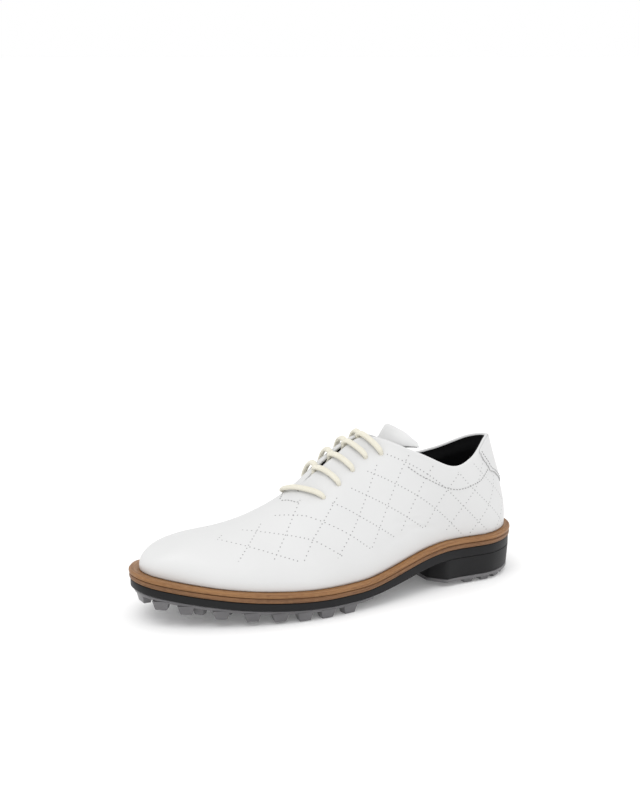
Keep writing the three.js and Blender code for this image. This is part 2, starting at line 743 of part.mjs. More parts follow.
// Lace
const route = lacing();
add('lace', tube(route, LACE), laceCream);
add('aglet_lateral', aglet([...route].reverse()), agletClear);
add('aglet_medial', aglet(route), agletClear);

export default shoe;
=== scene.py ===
import math

import bmesh
import bpy
import numpy as np
from mathutils import Matrix, Vector


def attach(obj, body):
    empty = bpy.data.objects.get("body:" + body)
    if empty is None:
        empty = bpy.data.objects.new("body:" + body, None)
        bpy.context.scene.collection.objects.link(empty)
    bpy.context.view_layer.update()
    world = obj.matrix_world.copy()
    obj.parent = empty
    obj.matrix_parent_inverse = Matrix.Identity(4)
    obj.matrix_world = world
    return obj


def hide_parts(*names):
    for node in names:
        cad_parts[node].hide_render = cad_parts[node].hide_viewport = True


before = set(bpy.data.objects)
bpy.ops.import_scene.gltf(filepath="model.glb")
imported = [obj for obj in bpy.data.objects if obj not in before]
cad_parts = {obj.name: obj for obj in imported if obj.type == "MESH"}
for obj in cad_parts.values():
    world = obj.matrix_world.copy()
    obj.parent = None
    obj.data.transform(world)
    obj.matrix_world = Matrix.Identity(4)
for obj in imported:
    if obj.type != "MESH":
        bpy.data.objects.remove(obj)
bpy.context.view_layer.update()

# ---------------------------------------------------------------- camera
# A long lens a little over a metre from the shoe's outer side, looking slightly down on it
# from in front of the toe.
AIM = Vector((0.0, 0.0029, 0.05))
AZIMUTH, ELEVATION, DISTANCE = math.radians(-28), math.radians(17), 1.2
towards_camera = Vector((
    math.sin(AZIMUTH) * math.cos(ELEVATION),
    -math.cos(AZIMUTH) * math.cos(ELEVATION),
    math.sin(ELEVATION),
))
camera = bpy.data.objects.new("camera", bpy.data.cameras.new("camera"))
camera.location = AIM + DISTANCE * towards_camera
camera.rotation_euler = (-towards_camera).to_track_quat("-Z", "Y").to_euler()
camera.data.lens = 74.07
camera.data.shift_x = -0.01025
camera.data.shift_y = 0.1574
camera.data.clip_end = 20
bpy.context.scene.collection.objects.link(camera)
bpy.context.scene.camera = camera

# ---------------------------------------------------------------- floor and light
# A seamless pale table under one broad light from above and in front of the toe, a weaker one from
# the heel's side, and an even bright room.
def node(tree, kind, inputs=None, **settings):
    """Adds a shader node; inputs maps a socket to a value or to another node's output."""
    made = tree.nodes.new(kind)
    for name, value in settings.items():
        setattr(made, name, value)
    for socket, value in (inputs or {}).items():
        if isinstance(value, bpy.types.NodeSocket):
            tree.links.new(value, made.inputs[socket])
        else:
            made.inputs[socket].default_value = value
    return made


def finish_material(name, colour, roughness, **constants):
    """A new material with one colour and roughness, for its nodes to vary; constants are other sockets."""
    made = bpy.data.materials.new(name)
    made.use_nodes = True
    shader = made.node_tree.nodes["Principled BSDF"]
    shader.inputs["Base Color"].default_value = (*colour, 1)
    shader.inputs["Roughness"].default_value = roughness
    for socket, value in constants.items():
        shader.inputs[socket.replace("_", " ")].default_value = value
    return made, made.node_tree, shader


def mix_colours(tree, share, first, second):
    """The colour between two colours, each a tuple or another node's output."""
    mix = tree.nodes.new("ShaderNodeMix")
    mix.data_type = "RGBA"
    for socket, value in ((0, share), (6, first), (7, second)):
        if isinstance(value, bpy.types.NodeSocket):
            tree.links.new(value, mix.inputs[socket])
        else:
            mix.inputs[socket].default_value = (*value, 1)
    return mix.outputs[2]


floor_mesh = bpy.data.meshes.new("floor")
FLOOR_HALF = 60.0
floor_mesh.from_pydata(
    [(x, y, 0) for x, y in ((-1, -1), (1, -1), (1, 1), (-1, 1))], [], [(0, 1, 2, 3)])
floor = bpy.data.objects.new("floor", floor_mesh)
floor.scale = (FLOOR_HALF, FLOOR_HALF, 1)
bpy.context.scene.collection.objects.link(floor)
table_white, table_tree, table_shader = finish_material(
    "table_white", (0.9, 0.9, 0.9), 0.75, Emission_Strength=0.12)
table_shader.inputs["Emission Color"].default_value = (1, 1, 1, 1)
table_mottle = node(table_tree, "ShaderNodeTexNoise", {"Scale": 40.0, "Detail": 3.0})
table_tone = node(table_tree, "ShaderNodeMapRange", {
    "Value": table_mottle.outputs["Fac"], "To Min": 0.88, "To Max": 0.91})
table_tree.links.new(table_tone.outputs["Result"], table_shader.inputs["Base Color"])
floor_mesh.materials.append(table_white)

world = bpy.data.worlds.new("room")
world.use_nodes = True
world.node_tree.nodes["Background"].inputs["Color"].default_value = (1, 1, 1, 1)
world.node_tree.nodes["Background"].inputs["Strength"].default_value = 1.0
bpy.context.scene.world = world
bpy.context.scene.view_settings.view_transform = "Standard"


def area_light(name, place, size, power):
    light = bpy.data.lights.new(name, "AREA")
    light.size = size
    light.energy = power
    lamp = bpy.data.objects.new(name, light)
    lamp.location = place
    lamp.rotation_euler = (AIM - Vector(place)).to_track_quat("-Z", "Y").to_euler()
    bpy.context.scene.collection.objects.link(lamp)


area_light("key_light", (-0.7, -0.5, 1.5), 1.1, 9.0)
area_light("heel_light", (1.3, -0.6, 0.9), 0.8, 2.5)

# ---------------------------------------------------------------- forefoot outsole
# The walking layer under the forefoot: one moulding of smoky translucent polyurethane, a thin plate
# with stout lugs whose sides slope, bonded to the midsole. It turns up at the toe.
MM = 0.001

# The sole's outline: x, then y on the lateral and on the medial side, from toe tip to heel
OUTLINE = [
    (-152.5, 5.8, 5.8),
    (-147.5, -10.5, 22),
    (-130.5, -23.5, 42),
    (-95, -40.5, 49.5),
    (-62, -49.4, 52.9),
    (-32, -52.9, 50.3),
    (0, -50, 41.5),
    (35, -42.8, 36.6),
    (62, -37.2, 37.2),
    (90, -33.6, 39.2),
    (122.5, -32.8, 38.9),
    (144.5, -18.4, 24.4),
    (152.5, 2.9, 2.9),
]
HEEL = len(OUTLINE) - 1  # places round the shoe: 0 toe tip, 12 heel, lateral side first
ROUND = 2 * HEEL


def all_round(lateral, medial):
    return np.array([lateral[i] if i <= HEEL else medial[ROUND - i] for i in range(ROUND)], float)


def at_place(values, place):
    """A smooth closed curve through the values, read at places round the shoe."""
    place = np.asarray(place, float) % ROUND
    i = np.floor(place).astype(int)
    t = place - i
    a, b, c, d = (values[(i + k) % ROUND] for k in (-1, 0, 1, 2))
    return b + 0.5 * t * (c - a + t * (2 * a - 5 * b + 4 * c - d + t * (3 * (b - c) + d - a)))


edge_x = all_round([row[0] for row in OUTLINE], [row[0] for row in OUTLINE])
edge_y = all_round([row[1] for row in OUTLINE], [row[2] for row in OUTLINE])


def edge(place):
    return at_place(edge_x, place), at_place(edge_y, place)


def outward(place):
    (x0, y0), (x1, y1) = edge(np.asarray(place) - 0.02), edge(np.asarray(place) + 0.02)
    length = np.hypot(x1 - x0, y1 - y0)
    return (y1 - y0) / length, (x0 - x1) / length


def inset_edge(place, inset):
    (x, y), (out_x, out_y) = edge(place), outward(place)
    return x - out_x * inset, y - out_y * inset


def smooth(x, start, end):
    t = np.clip((np.asarray(x, float) - start) / (end - start), 0, 1)
    return t * t * (3 - 2 * t)


SPRING_START, TOE_SPRING = -18, 17
HEEL_LIFT, WAIST = 14, (-2.5, 85)
LUG_DEPTH, PLATE = 5.6, 2.9
GAP = 0.3


def toe_spring(x):
    return TOE_SPRING * (np.maximum(0, SPRING_START - x) / (SPRING_START + 152.5)) ** 2


def plate_top(x):
    return LUG_DEPTH + PLATE + toe_spring(x) + HEEL_LIFT * smooth(x, *WAIST)


def new_piece(name, points, faces, material, body="shoe", uv=None):
    """A mesh piece from points in millimetres that rides on a body."""
    mesh = bpy.data.meshes.new(name)
    mesh.from_pydata((np.asarray(points, float) * MM).tolist(), [], faces)
    mesh.materials.append(material)
    mesh.polygons.foreach_set("use_smooth", [True] * len(mesh.polygons))
    if uv is not None:
        corners = np.zeros(len(mesh.loops), int)
        mesh.loops.foreach_get("vertex_index", corners)
        layer = mesh.uv_layers.new(name="surface")
        layer.data.foreach_set("uv", np.asarray(uv, np.float32)[corners].ravel())
    mesh.validate()
    piece = bpy.data.objects.new(name, mesh)
    bpy.context.scene.collection.objects.link(piece)
    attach(piece, body)
    return piece


def sharpen(piece, degrees):
    """Keeps edges steeper than this crisp in the shading."""
    piece.data.set_sharp_from_angle(angle=math.radians(degrees))


def stack(profile, places, closed, trim=None):
    """A solid from rings along the outline, from the bottom ring up: profile rows are inset and height."""
    n = len(places)
    rings = []
    for inset, height in profile:
        x, y = inset_edge(places, inset)
        if trim is not None:
            x, y = trim(x, y, inset)
        rings.append(np.stack([x, y, height(x)], 1))
    count = len(rings)
    faces = []
    steps = n if closed else n - 1
    for k in range(count - 1):
        for i in range(steps):
            j = (i + 1) % n
            faces.append((k * n + i, k * n + j, (k + 1) * n + j, (k + 1) * n + i))
    half = n // 2
    for i in range(half):
        j, far, near = i + 1, (n - i) % n if closed else n - 1 - i, n - 1 - i if closed else n - 2 - i
        corners = []
        for corner in (i, j, near, far):
            if corner not in corners:
                corners.append(corner)
        if len(corners) < 3:
            continue
        faces.append(tuple(reversed(corners)))
        faces.append(tuple((count - 1) * n + corner for corner in corners))
    if not closed:
        for k in range(count - 1):
            faces.append((k * n, (k + 1) * n, (k + 1) * n + n - 1, k * n + n - 1))
    return np.concatenate(rings), faces


def rounded_side(inset, bottom, top, radius, taper=0.0):
    """The side of a slab, from its bottom up, with rounded edges."""
    turn = [(math.sin(a), 1 - math.cos(a)) for a in np.radians((0, 30, 60, 90))]
    lower = [(inset + taper + radius * (1 - s), lambda x, c=c: bottom(x) + radius * c) for s, c in turn]
    upper = [(inset + radius * (1 - s), lambda x, c=c: top(x) - radius * c) for s, c in reversed(turn)]
    return lower + upper


OUTSOLE_INSET = 2.6
FOREFOOT_END = 6 + 1 / 3
LUG_INSET = 7.6


def lug_points(x, y, length, width, turn, top, bottom):
    """A block that narrows to the ground, its edges rounded; returns points and faces."""
    block = bmesh.new()
    bmesh.ops.create_cube(block, size=1)
    for corner in block.verts:
        narrow = (0.68, 0.74) if corner.co.z < 0 else (1, 1)
        corner.co = (
            corner.co.x * length * narrow[0],
            corner.co.y * width * narrow[1],
            corner.co.z * (top - bottom) + (top + bottom) / 2,
        )
    bmesh.ops.bevel(
        block, geom=[e for e in block.edges if min(v.co.z for v in e.verts) < top - 0.01],
        offset=0.7, segments=2, profile=0.6, affect="EDGES")
    turned = Matrix.Translation((x, y, 0)) @ Matrix.Rotation(turn, 4, "Z")
    block.transform(turned)
    block.verts.index_update()
    points = [tuple(v.co) for v in block.verts]
    faces = [tuple(v.index for v in f.verts) for f in block.faces]
    block.free()
    return points, faces


def with_lugs(points, faces, lugs, ground, plate_bottom):
    points, faces = [tuple(p) for p in points], list(faces)
    for x, y, length, width, turn in lugs:
        start = len(points)
        more, sides = lug_points(x, y, length, width, turn, float(plate_bottom(x)) + 1, float(ground(x)))
        points += more
        faces += [tuple(start + i for i in side) for side in sides]
    return points, faces


def edge_lugs(rows, length, width):
    lugs = []
    for side in (1, -1):
        for row in rows:
            place = row if side > 0 else ROUND - row
            (x, y), (out_x, out_y) = inset_edge(place, LUG_INSET), outward(place)
            lugs.append((float(x), float(y), length, width, math.atan2(out_y, out_x) - math.pi / 2))
    return lugs


smoky_tpu, tpu_tree, tpu_shader = finish_material(
    "smoky_tpu", (0.16, 0.155, 0.16), 0.3, Transmission_Weight=0.3, IOR=1.5)
tpu_place = node(tpu_tree, "ShaderNodeTexCoord")
tpu_cloud = node(tpu_tree, "ShaderNodeTexNoise", {
    "Vector": tpu_place.outputs["Object"], "Scale": 60.0, "Detail": 3.0})
tpu_tone = mix_colours(tpu_tree, tpu_cloud.outputs["Fac"], (0.12, 0.115, 0.12), (0.22, 0.215, 0.225))
tpu_tree.links.new(tpu_tone, tpu_shader.inputs["Base Color"])
tpu_grain = node(tpu_tree, "ShaderNodeTexNoise", {
    "Vector": tpu_place.outputs["Object"], "Scale": 1400.0, "Detail": 2.0})
tpu_rough = node(tpu_tree, "ShaderNodeMapRange", {
    "Value": tpu_cloud.outputs["Fac"], "To Min": 0.24, "To Max": 0.42})
tpu_tree.links.new(tpu_rough.outputs["Result"], tpu_shader.inputs["Roughness"])
tpu_bump = node(tpu_tree, "ShaderNodeBump", {
    "Height": tpu_grain.outputs["Fac"], "Strength": 0.12, "Distance": 0.0003})
tpu_tree.links.new(tpu_bump.outputs["Normal"], tpu_shader.inputs["Normal"])

FINE = 16  # columns for each row of the tables


def places_between(start, end):
    return np.linspace(start, end, int(round((end - start) * FINE)) + 1)


def forefoot_plate_bottom(x):
    return plate_top(x) - PLATE


plate_points, plate_faces = stack(
    rounded_side(OUTSOLE_INSET, forefoot_plate_bottom, plate_top, 0.8, taper=0.8),
    places_between(-FOREFOOT_END, FOREFOOT_END), closed=False)
forefoot_lugs = [(-143, 6.5, 8, 13, 0)]
forefoot_lugs += edge_lugs([1.45, 2.15, 2.75, 3.35, 3.95, 4.55, 5.15, 5.75], 12, 9)
forefoot_lugs += [
    (x, y, 9, 9, math.pi / 4) for x in (-112, -91, -70, -49, -28, -9) for y in (-19, 4, 27)]
outsole_forefoot = new_piece(
    "forefoot_outsole",
    *with_lugs(plate_points, plate_faces, forefoot_lugs, toe_spring, forefoot_plate_bottom), smoky_tpu)
sharpen(outsole_forefoot, 50)
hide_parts("outsole_forefoot")

# ---------------------------------------------------------------- heel outsole
# The same smoky moulding under the heel: a thin plate with smaller lugs, glued under the heel block.
HEEL_FRONT, HEEL_CORNER = 67.5, 86
HEEL_START = 8 + 1 / 3
HEEL_LUG, HEEL_PLATE = 3.7, 2.4


def heel_corners(x, y, inset=0):
    """Cuts the heel's front corners off at about 45 degrees."""
    open_ = np.clip((x - HEEL_FRONT) / (HEEL_CORNER - HEEL_FRONT), 0, 1)
    return x, np.clip(y, -17 - 24 * open_ + inset / 2, 21 + 24 * open_ - inset / 2)


heel_places = places_between(HEEL_START, ROUND - HEEL_START)


def heel_level(height):
    """A flat level under the heel, in the form that stack() wants."""
    return lambda x: height + 0 * x


plate_points, plate_faces = stack(
    rounded_side(OUTSOLE_INSET - 0.8, heel_level(HEEL_LUG), heel_level(HEEL_LUG + HEEL_PLATE), 0.6),
    heel_places, closed=False, trim=heel_corners)
heel_lugs = [(145, 3, 6, 11, 0)]
heel_lugs += edge_lugs([9.35, 9.8, 10.3, 10.85], 9.5, 8)
heel_lugs += [(x, y, 8, 8, math.pi / 4) for x in (84, 100, 116) for y in (-8, 13)]
outsole_heel = new_piece(
    "heel_outsole",
    *with_lugs(plate_points, plate_faces, heel_lugs, lambda x: 0.0, lambda x: HEEL_LUG), smoky_tpu)
sharpen(outsole_heel, 50)
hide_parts("outsole_heel")

# ---------------------------------------------------------------- heel block and midsole
# Black rubber, moulded with a satin skin: the midsole runs the whole length and carries the heel
# block, whose front corners are cut off. Their joint hardly shows.
MIDSOLE, MIDSOLE_WAIST = 5.6, 7
SOLE_INSET = 0.9
HEEL_JOINT = 0.2  # the glued joint under the heel block; half as much over it


def grain_group():
    """Fine moulded or natural grain with a slow variation of tone, over object coordinates."""
    group = bpy.data.node_groups.new("fine_grain", "ShaderNodeTree")
    for name, kind, value in (
        ("Grain Scale", "NodeSocketFloat", 1500.0),
        ("Cloud Scale", "NodeSocketFloat", 40.0),
    ):
        group.interface.new_socket(name, in_out="INPUT", socket_type=kind).default_value = value
    for name in ("Height", "Cloud"):
        group.interface.new_socket(name, in_out="OUTPUT", socket_type="NodeSocketFloat")
    given = node(group, "NodeGroupInput")
    place = node(group, "ShaderNodeTexCoord")
    cells = node(group, "ShaderNodeTexVoronoi", {
        "Vector": place.outputs["Object"], "Scale": given.outputs["Grain Scale"]})
    noise = node(group, "ShaderNodeTexNoise", {
        "Vector": place.outputs["Object"], "Scale": given.outputs["Grain Scale"], "Detail": 3.0})
    height = node(group, "ShaderNodeMath", {
        0: cells.outputs["Distance"], 1: noise.outputs["Fac"]}, operation="ADD")
    cloud = node(group, "ShaderNodeTexNoise", {
        "Vector": place.outputs["Object"], "Scale": given.outputs["Cloud Scale"], "Detail": 4.0})
    node(group, "NodeGroupOutput", {
        "Height": height.outputs["Value"], "Cloud": cloud.outputs["Fac"]})
    return group


fine_grain = grain_group()


def grained(name, dark, light, roughness, grain_scale, cloud_scale, strength, **constants):
    """A material whose tone and roughness vary slowly over a fine grain."""
    material, tree, shader = finish_material(name, dark, roughness[0], **constants)
    grain = node(tree, "ShaderNodeGroup", node_tree=fine_grain)
    grain.inputs["Grain Scale"].default_value = grain_scale
    grain.inputs["Cloud Scale"].default_value = cloud_scale
    tone = mix_colours(tree, grain.outputs["Cloud"], dark, light)
    tree.links.new(tone, shader.inputs["Base Color"])
    rough = node(tree, "ShaderNodeMapRange", {
        "Value": grain.outputs["Cloud"], "To Min": roughness[0], "To Max": roughness[1]})
    tree.links.new(rough.outputs["Result"], shader.inputs["Roughness"])
    bump = node(tree, "ShaderNodeBump", {
        "Height": grain.outputs["Height"], "Strength": strength, "Distance": 0.0002})
    tree.links.new(bump.outputs["Normal"], shader.inputs["Normal"])
    return material


black_rubber = grained(
    "black_rubber", (0.004, 0.004, 0.0045), (0.009, 0.009, 0.01), (0.45, 0.58), 1800.0, 30.0, 0.25,
    Specular_IOR_Level=0.25)


def midsole_top(x):
    return plate_top(x) + GAP + MIDSOLE


def midsole_under(x):
    return midsole_top(x) - MIDSOLE - (MIDSOLE_WAIST - MIDSOLE) * smooth(x, 0, 50)


whole_round = np.arange(0, ROUND, 1 / FINE)
midsole = new_piece(
    "midsole_block",
    *stack(rounded_side(SOLE_INSET, midsole_under, midsole_top, 0.7), whole_round, closed=True),
    black_rubber)
sharpen(midsole, 50)
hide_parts("midsole")

heel_block = new_piece(
    "heel_lift",
    *stack(
        rounded_side(
            SOLE_INSET, heel_level(HEEL_LUG + HEEL_PLATE + HEEL_JOINT),
            lambda x: midsole_under(x) - HEEL_JOINT / 2, 0.6, taper=1.0),
        heel_places, closed=False, trim=heel_corners),
    black_rubber)
sharpen(heel_block, 40)
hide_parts("heel_block")

# ---------------------------------------------------------------- welt
# Two rings of tan leather board one on the other, as a stacked edge: sanded, stained and waxed, so
# the board's layers show as fine lines along the edge. They are cemented and stand out round the upper.
WELT_LAYER = 3.35
WELT_WIDTH = 13


def welt_bottom(x):
    return plate_top(x) + GAP + MIDSOLE + GAP


def welt_top(x):
    return welt_bottom(x) + 2 * WELT_LAYER + GAP


def ring(profile, places):
    """A closed ring along the outline whose section is the loop of (inset, height) rows."""
    n, count = len(places), len(profile)
    rings = []
    for inset, height in profile:
        x, y = inset_edge(places, inset)
        rings.append(np.stack([x, y, height(x)], 1))
    faces = [
        (k * n + i, k * n + (i + 1) % n, (k + 1) % count * n + (i + 1) % n, (k + 1) % count * n + i)
        for k in range(count) for i in range(n)]
    return np.concatenate(rings), faces


def welt_section(bottom, top, outer, radius):
    """Counter-clockwise section: out along the bottom, up the rounded edge, back over the top."""
    turn = [(math.sin(a), 1 - math.cos(a)) for a in np.radians((0, 30, 60, 90))]
    lower = [(outer + radius * (1 - s), lambda x, c=c: bottom(x) + radius * c) for s, c in turn]
    middle = [(outer - 0.12, lambda x: (bottom(x) + top(x)) / 2)]
    upper = [(outer + radius * (1 - s), lambda x, c=c: top(x) - radius * c) for s, c in reversed(turn)]
    inner = [(WELT_WIDTH, top), (WELT_WIDTH, bottom)]
    return lower + middle + upper + inner


def stacked_board_group():
    """Sanded edge of leather board: fine lines along the edge, uneven stain, small pits."""
    group = bpy.data.node_groups.new("stacked_board", "ShaderNodeTree")
    for name, value in (("Lines", 1.0), ("Stain Scale", 1.0)):
        group.interface.new_socket(name, in_out="INPUT", socket_type="NodeSocketFloat").default_value = value
    for name in ("Line Mask", "Stain", "Height"):
        group.interface.new_socket(name, in_out="OUTPUT", socket_type="NodeSocketFloat")
    given = node(group, "NodeGroupInput")
    uv = node(group, "ShaderNodeUVMap", uv_map="surface")
    long = node(group, "ShaderNodeMapping", {"Vector": uv.outputs["UV"], "Scale": (2.2, 46.0, 1.0)})
    streak = node(group, "ShaderNodeTexNoise", {
        "Vector": long.outputs["Vector"], "Scale": given.outputs["Lines"], "Detail": 5.0, "Roughness": 0.65})
    lines = node(group, "ShaderNodeMapRange", {
        "Value": streak.outputs["Fac"], "From Min": 0.38, "From Max": 0.62})
    short = node(group, "ShaderNodeMapping", {"Vector": uv.outputs["UV"], "Scale": (26.0, 60.0, 1.0)})
    fleck = node(group, "ShaderNodeTexNoise", {
        "Vector": short.outputs["Vector"], "Scale": given.outputs["Stain Scale"], "Detail": 3.0})
    height = node(group, "ShaderNodeMath", {
        0: lines.outputs["Result"], 1: fleck.outputs["Fac"]}, operation="ADD")
    node(group, "NodeGroupOutput", {
        "Line Mask": lines.outputs["Result"],
        "Stain": fleck.outputs["Fac"],
        "Height": height.outputs["Value"],
    })
    return group


stacked_board = stacked_board_group()


def board_leather(name, dark, light, dry):
    material, tree, shader = finish_material(name, dark, 0.5)
    board = node(tree, "ShaderNodeGroup", node_tree=stacked_board)
    base = mix_colours(tree, board.outputs["Line Mask"], dark, light)
    stain = node(tree, "ShaderNodeMapRange", {
        "Value": board.outputs["Stain"], "From Min": 0.4, "From Max": 0.75, "To Min": 0, "To Max": 0.5})
    tone = mix_colours(tree, stain.outputs["Result"], base, dry)
    tree.links.new(tone, shader.inputs["Base Color"])
    rough = node(tree, "ShaderNodeMapRange", {
        "Value": board.outputs["Line Mask"], "To Min": 0.62, "To Max": 0.45})
    tree.links.new(rough.outputs["Result"], shader.inputs["Roughness"])
    bump = node(tree, "ShaderNodeBump", {
        "Height": board.outputs["Height"], "Strength": 0.5, "Distance": 0.00025})
    tree.links.new(bump.outputs["Normal"], shader.inputs["Normal"])
    return material


def edge_lengths(places):
    x, y = edge(places)
    return np.concatenate([[0], np.cumsum(np.hypot(np.diff(x), np.diff(y)))])


for name, node_name, slot, (low, high), outer, tones in (
    ("welt_lower_ring", "welt_lower", "welt_brown", (0, WELT_LAYER), 0.25,
     ((0.1, 0.04, 0.012), (0.2, 0.088, 0.028), (0.27, 0.14, 0.055))),
    ("welt_upper_ring", "welt_upper", "welt_tan", (WELT_LAYER + GAP, 2 * WELT_LAYER + GAP), 0.0,
     ((0.17, 0.07, 0.02), (0.29, 0.135, 0.042), (0.37, 0.2, 0.08))),
):
    def low_side(x, low=low):
        return welt_bottom(x) + low

    def high_side(x, high=high):
        return welt_bottom(x) + high

    section = welt_section(low_side, high_side, outer, 0.75)
    points, faces = ring(section, whole_round)
    travelled = edge_lengths(whole_round)
    along = np.minimum(travelled, 2 * travelled[len(whole_round) // 2] - travelled)
    across = np.cumsum([0] + [1.2] * 3 + [1.7] * 2 + [1.2] * 3 + [12, 3])[:len(section)]
    uv = [(along[i] / 100, across[k] / 100) for k in range(len(section)) for i in range(len(whole_round))]
    welt = new_piece(name, points, faces, board_leather(name + "_leather", *tones), uv=uv)
    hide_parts(node_name)

# ---------------------------------------------------------------- inside the bottom
# Between the welt and the foot: cork filler, a steel shank let into it, the leatherboard insole that
# the upper is lasted to, and the removable footbed of foam with a black fabric cover.
cork = grained("cork", (0.26, 0.14, 0.06), (0.42, 0.27, 0.14), (0.8, 0.95), 700.0, 300.0, 0.8)
leatherboard = grained("leatherboard", (0.28, 0.18, 0.1), (0.38, 0.26, 0.16), (0.75, 0.9), 900.0, 120.0, 0.5)
foam_grey = grained("foam_grey", (0.2, 0.21, 0.22), (0.3, 0.31, 0.33), (0.9, 1.0), 1200.0, 90.0, 1.0)
shank_steel = grained(
    "shank_steel", (0.5, 0.51, 0.53), (0.62, 0.63, 0.65), (0.3, 0.45), 900.0, 60.0, 0.1, Metallic=1.0)


def woven_group():
    """A close plain weave over object coordinates, with a little lint."""
    group = bpy.data.node_groups.new("plain_weave", "ShaderNodeTree")
    group.interface.new_socket(
        "Threads", in_out="INPUT", socket_type="NodeSocketFloat").default_value = 1500.0
    for name in ("Height", "Lint"):
        group.interface.new_socket(name, in_out="OUTPUT", socket_type="NodeSocketFloat")
    given = node(group, "NodeGroupInput")
    place = node(group, "ShaderNodeTexCoord")
    waves = []
    for direction in ("X", "Z"):
        waves.append(node(group, "ShaderNodeTexWave", {
            "Vector": place.outputs["Object"], "Scale": given.outputs["Threads"], "Distortion": 1.0},
            bands_direction=direction))
    height = node(group, "ShaderNodeMath", {
        0: waves[0].outputs["Fac"], 1: waves[1].outputs["Fac"]}, operation="MAXIMUM")
    lint = node(group, "ShaderNodeTexNoise", {
        "Vector": place.outputs["Object"], "Scale": 220.0, "Detail": 5.0})
    node(group, "NodeGroupOutput", {"Height": height.outputs["Value"], "Lint": lint.outputs["Fac"]})
    return group


plain_weave = woven_group()


def fabric(name, dark, light, threads):
    material, tree, shader = finish_material(name, dark, 0.9, Specular_IOR_Level=0.15)
    weave = node(tree, "ShaderNodeGroup", node_tree=plain_weave)
    weave.inputs["Threads"].default_value = threads
    tone = mix_colours(tree, weave.outputs["Lint"], dark, light)
    tree.links.new(tone, shader.inputs["Base Color"])
    bump = node(tree, "ShaderNodeBump", {
        "Height": weave.outputs["Height"], "Strength": 0.4, "Distance": 0.0002})
    tree.links.new(bump.outputs["Normal"], shader.inputs["Normal"])
    return material


black_fabric = fabric("black_fabric", (0.002, 0.002, 0.0025), (0.006, 0.006, 0.0065), 1100.0)

for name, material in (
    ("bottom_filler", cork),
    ("shank", shank_steel),
    ("insole_board", leatherboard),
    ("footbed_foam", foam_grey),
):
    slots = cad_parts[name].data.materials
    slots.clear()
    slots.append(material)

LEATHER, REINFORCEMENT, LINING = 1.5, 0.9, 0.8
FEATHER_INSET, TOE_INSET = 4.6, 3
BOARD, FOOTBED_FOAM, FOOTBED_COVER = 1.7, 4, 1


def feather_inset(x):
    return FEATHER_INSET + TOE_INSET * (1 - smooth(x, -152.5, -100))


def footbed_inset(places):
    x = edge(places)[0]
    board = feather_inset(x) + LEATHER + REINFORCEMENT + LINING + 4 * GAP
    return board + 1.5 + 2 * (1 - smooth(x, -152.5, -90))


def cover_bottom(x):
    return welt_top(x) + 3 * GAP + BOARD + FOOTBED_FOAM


def footbed_top(x):
    return cover_bottom(x) + FOOTBED_COVER


cover_profile = [
    (inset, height) for inset, height in rounded_side(0, cover_bottom, footbed_top, 0.45)]
cover_inset = footbed_inset(whole_round)
footbed = new_piece(
    "footbed_sock",
    *stack([(cover_inset + inset, height) for inset, height in cover_profile], whole_round, closed=True),
    black_fabric)
sharpen(footbed, 50)
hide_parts("footbed_cover")

# ---------------------------------------------------------------- upper
# Smooth white full-grain leather, lasted over the toe and seat and cemented to the insole. Its
# facings meet over the instep with five punched lace holes each side; rows of fine holes cross in
# diamonds from the vamp back to the heel. The topline is turned over a thin padding.
THROAT = 5
# Where the upper ends, for each row of the outline: x, z lateral, y lateral, y medial, z medial, then
# the rib's shape: rise and bulge at the sole, reach and drop at the top, and the ridge's slope
TOP = [
    (-97, 57.8, 6.5, 6.5, 57.8, 15, 2.5, 30, 0, 0.02),
    (-95.5, 57.9, 6.5, 6.5, 57.9, 16, 2.5, 29, 0, 0.03),
    (-89, 58.5, 6.8, 6.8, 58.5, 17, 2, 27, 0, 0.08),
    (-74, 60.8, 7.3, 7.3, 60.8, 17, 1.5, 25, 0, 0.2),
    (-52, 66.5, 7.8, 7.8, 66.5, 20, 1, 23, 0, 0.36),
    (-27, 78.3, 8, 8, 78.3, 24, 0.5, 19, 0, 0.6),
    (3, 99.8, 3.1, 12.8, 99.8, 30, 0.5, 14, 12, 0.6),
    (31, 113, 3.2, 13, 113, 36, 0.5, 13, 12.5, 0.3),
    (60, 102.5, -20, 29, 101, 34, 1, 6, 20, 0),
    (85, 91, -30, 36, 87.5, 22, 1.5, 3, 20, 0),
    (106, 93.5, -24, 31, 90, 22, 2, 5, 22, 0),
    (127, 102, -8, 17, 100, 24, 2, 7, 26, 0),
    (135.3, 103.3, 2.9, 2.9, 103.3, 24, 1.5, 7, 28, 0),
]
MEDIAL_DROP = {5: -2, 6: -2, 7: -1}  # the instep stands higher on the medial side, round the lacing
top_x, *rib_shape = (all_round([row[n] for row in TOP], [row[n] for row in TOP]) for n in (0, 5, 6, 7, 8, 9))
rib_shape[3] = all_round([row[8] for row in TOP], [MEDIAL_DROP.get(n, row[8]) for n, row in enumerate(TOP)])
top_y = all_round([row[2] for row in TOP], [row[3] for row in TOP])
top_z = all_round([row[1] for row in TOP], [row[4] for row in TOP])


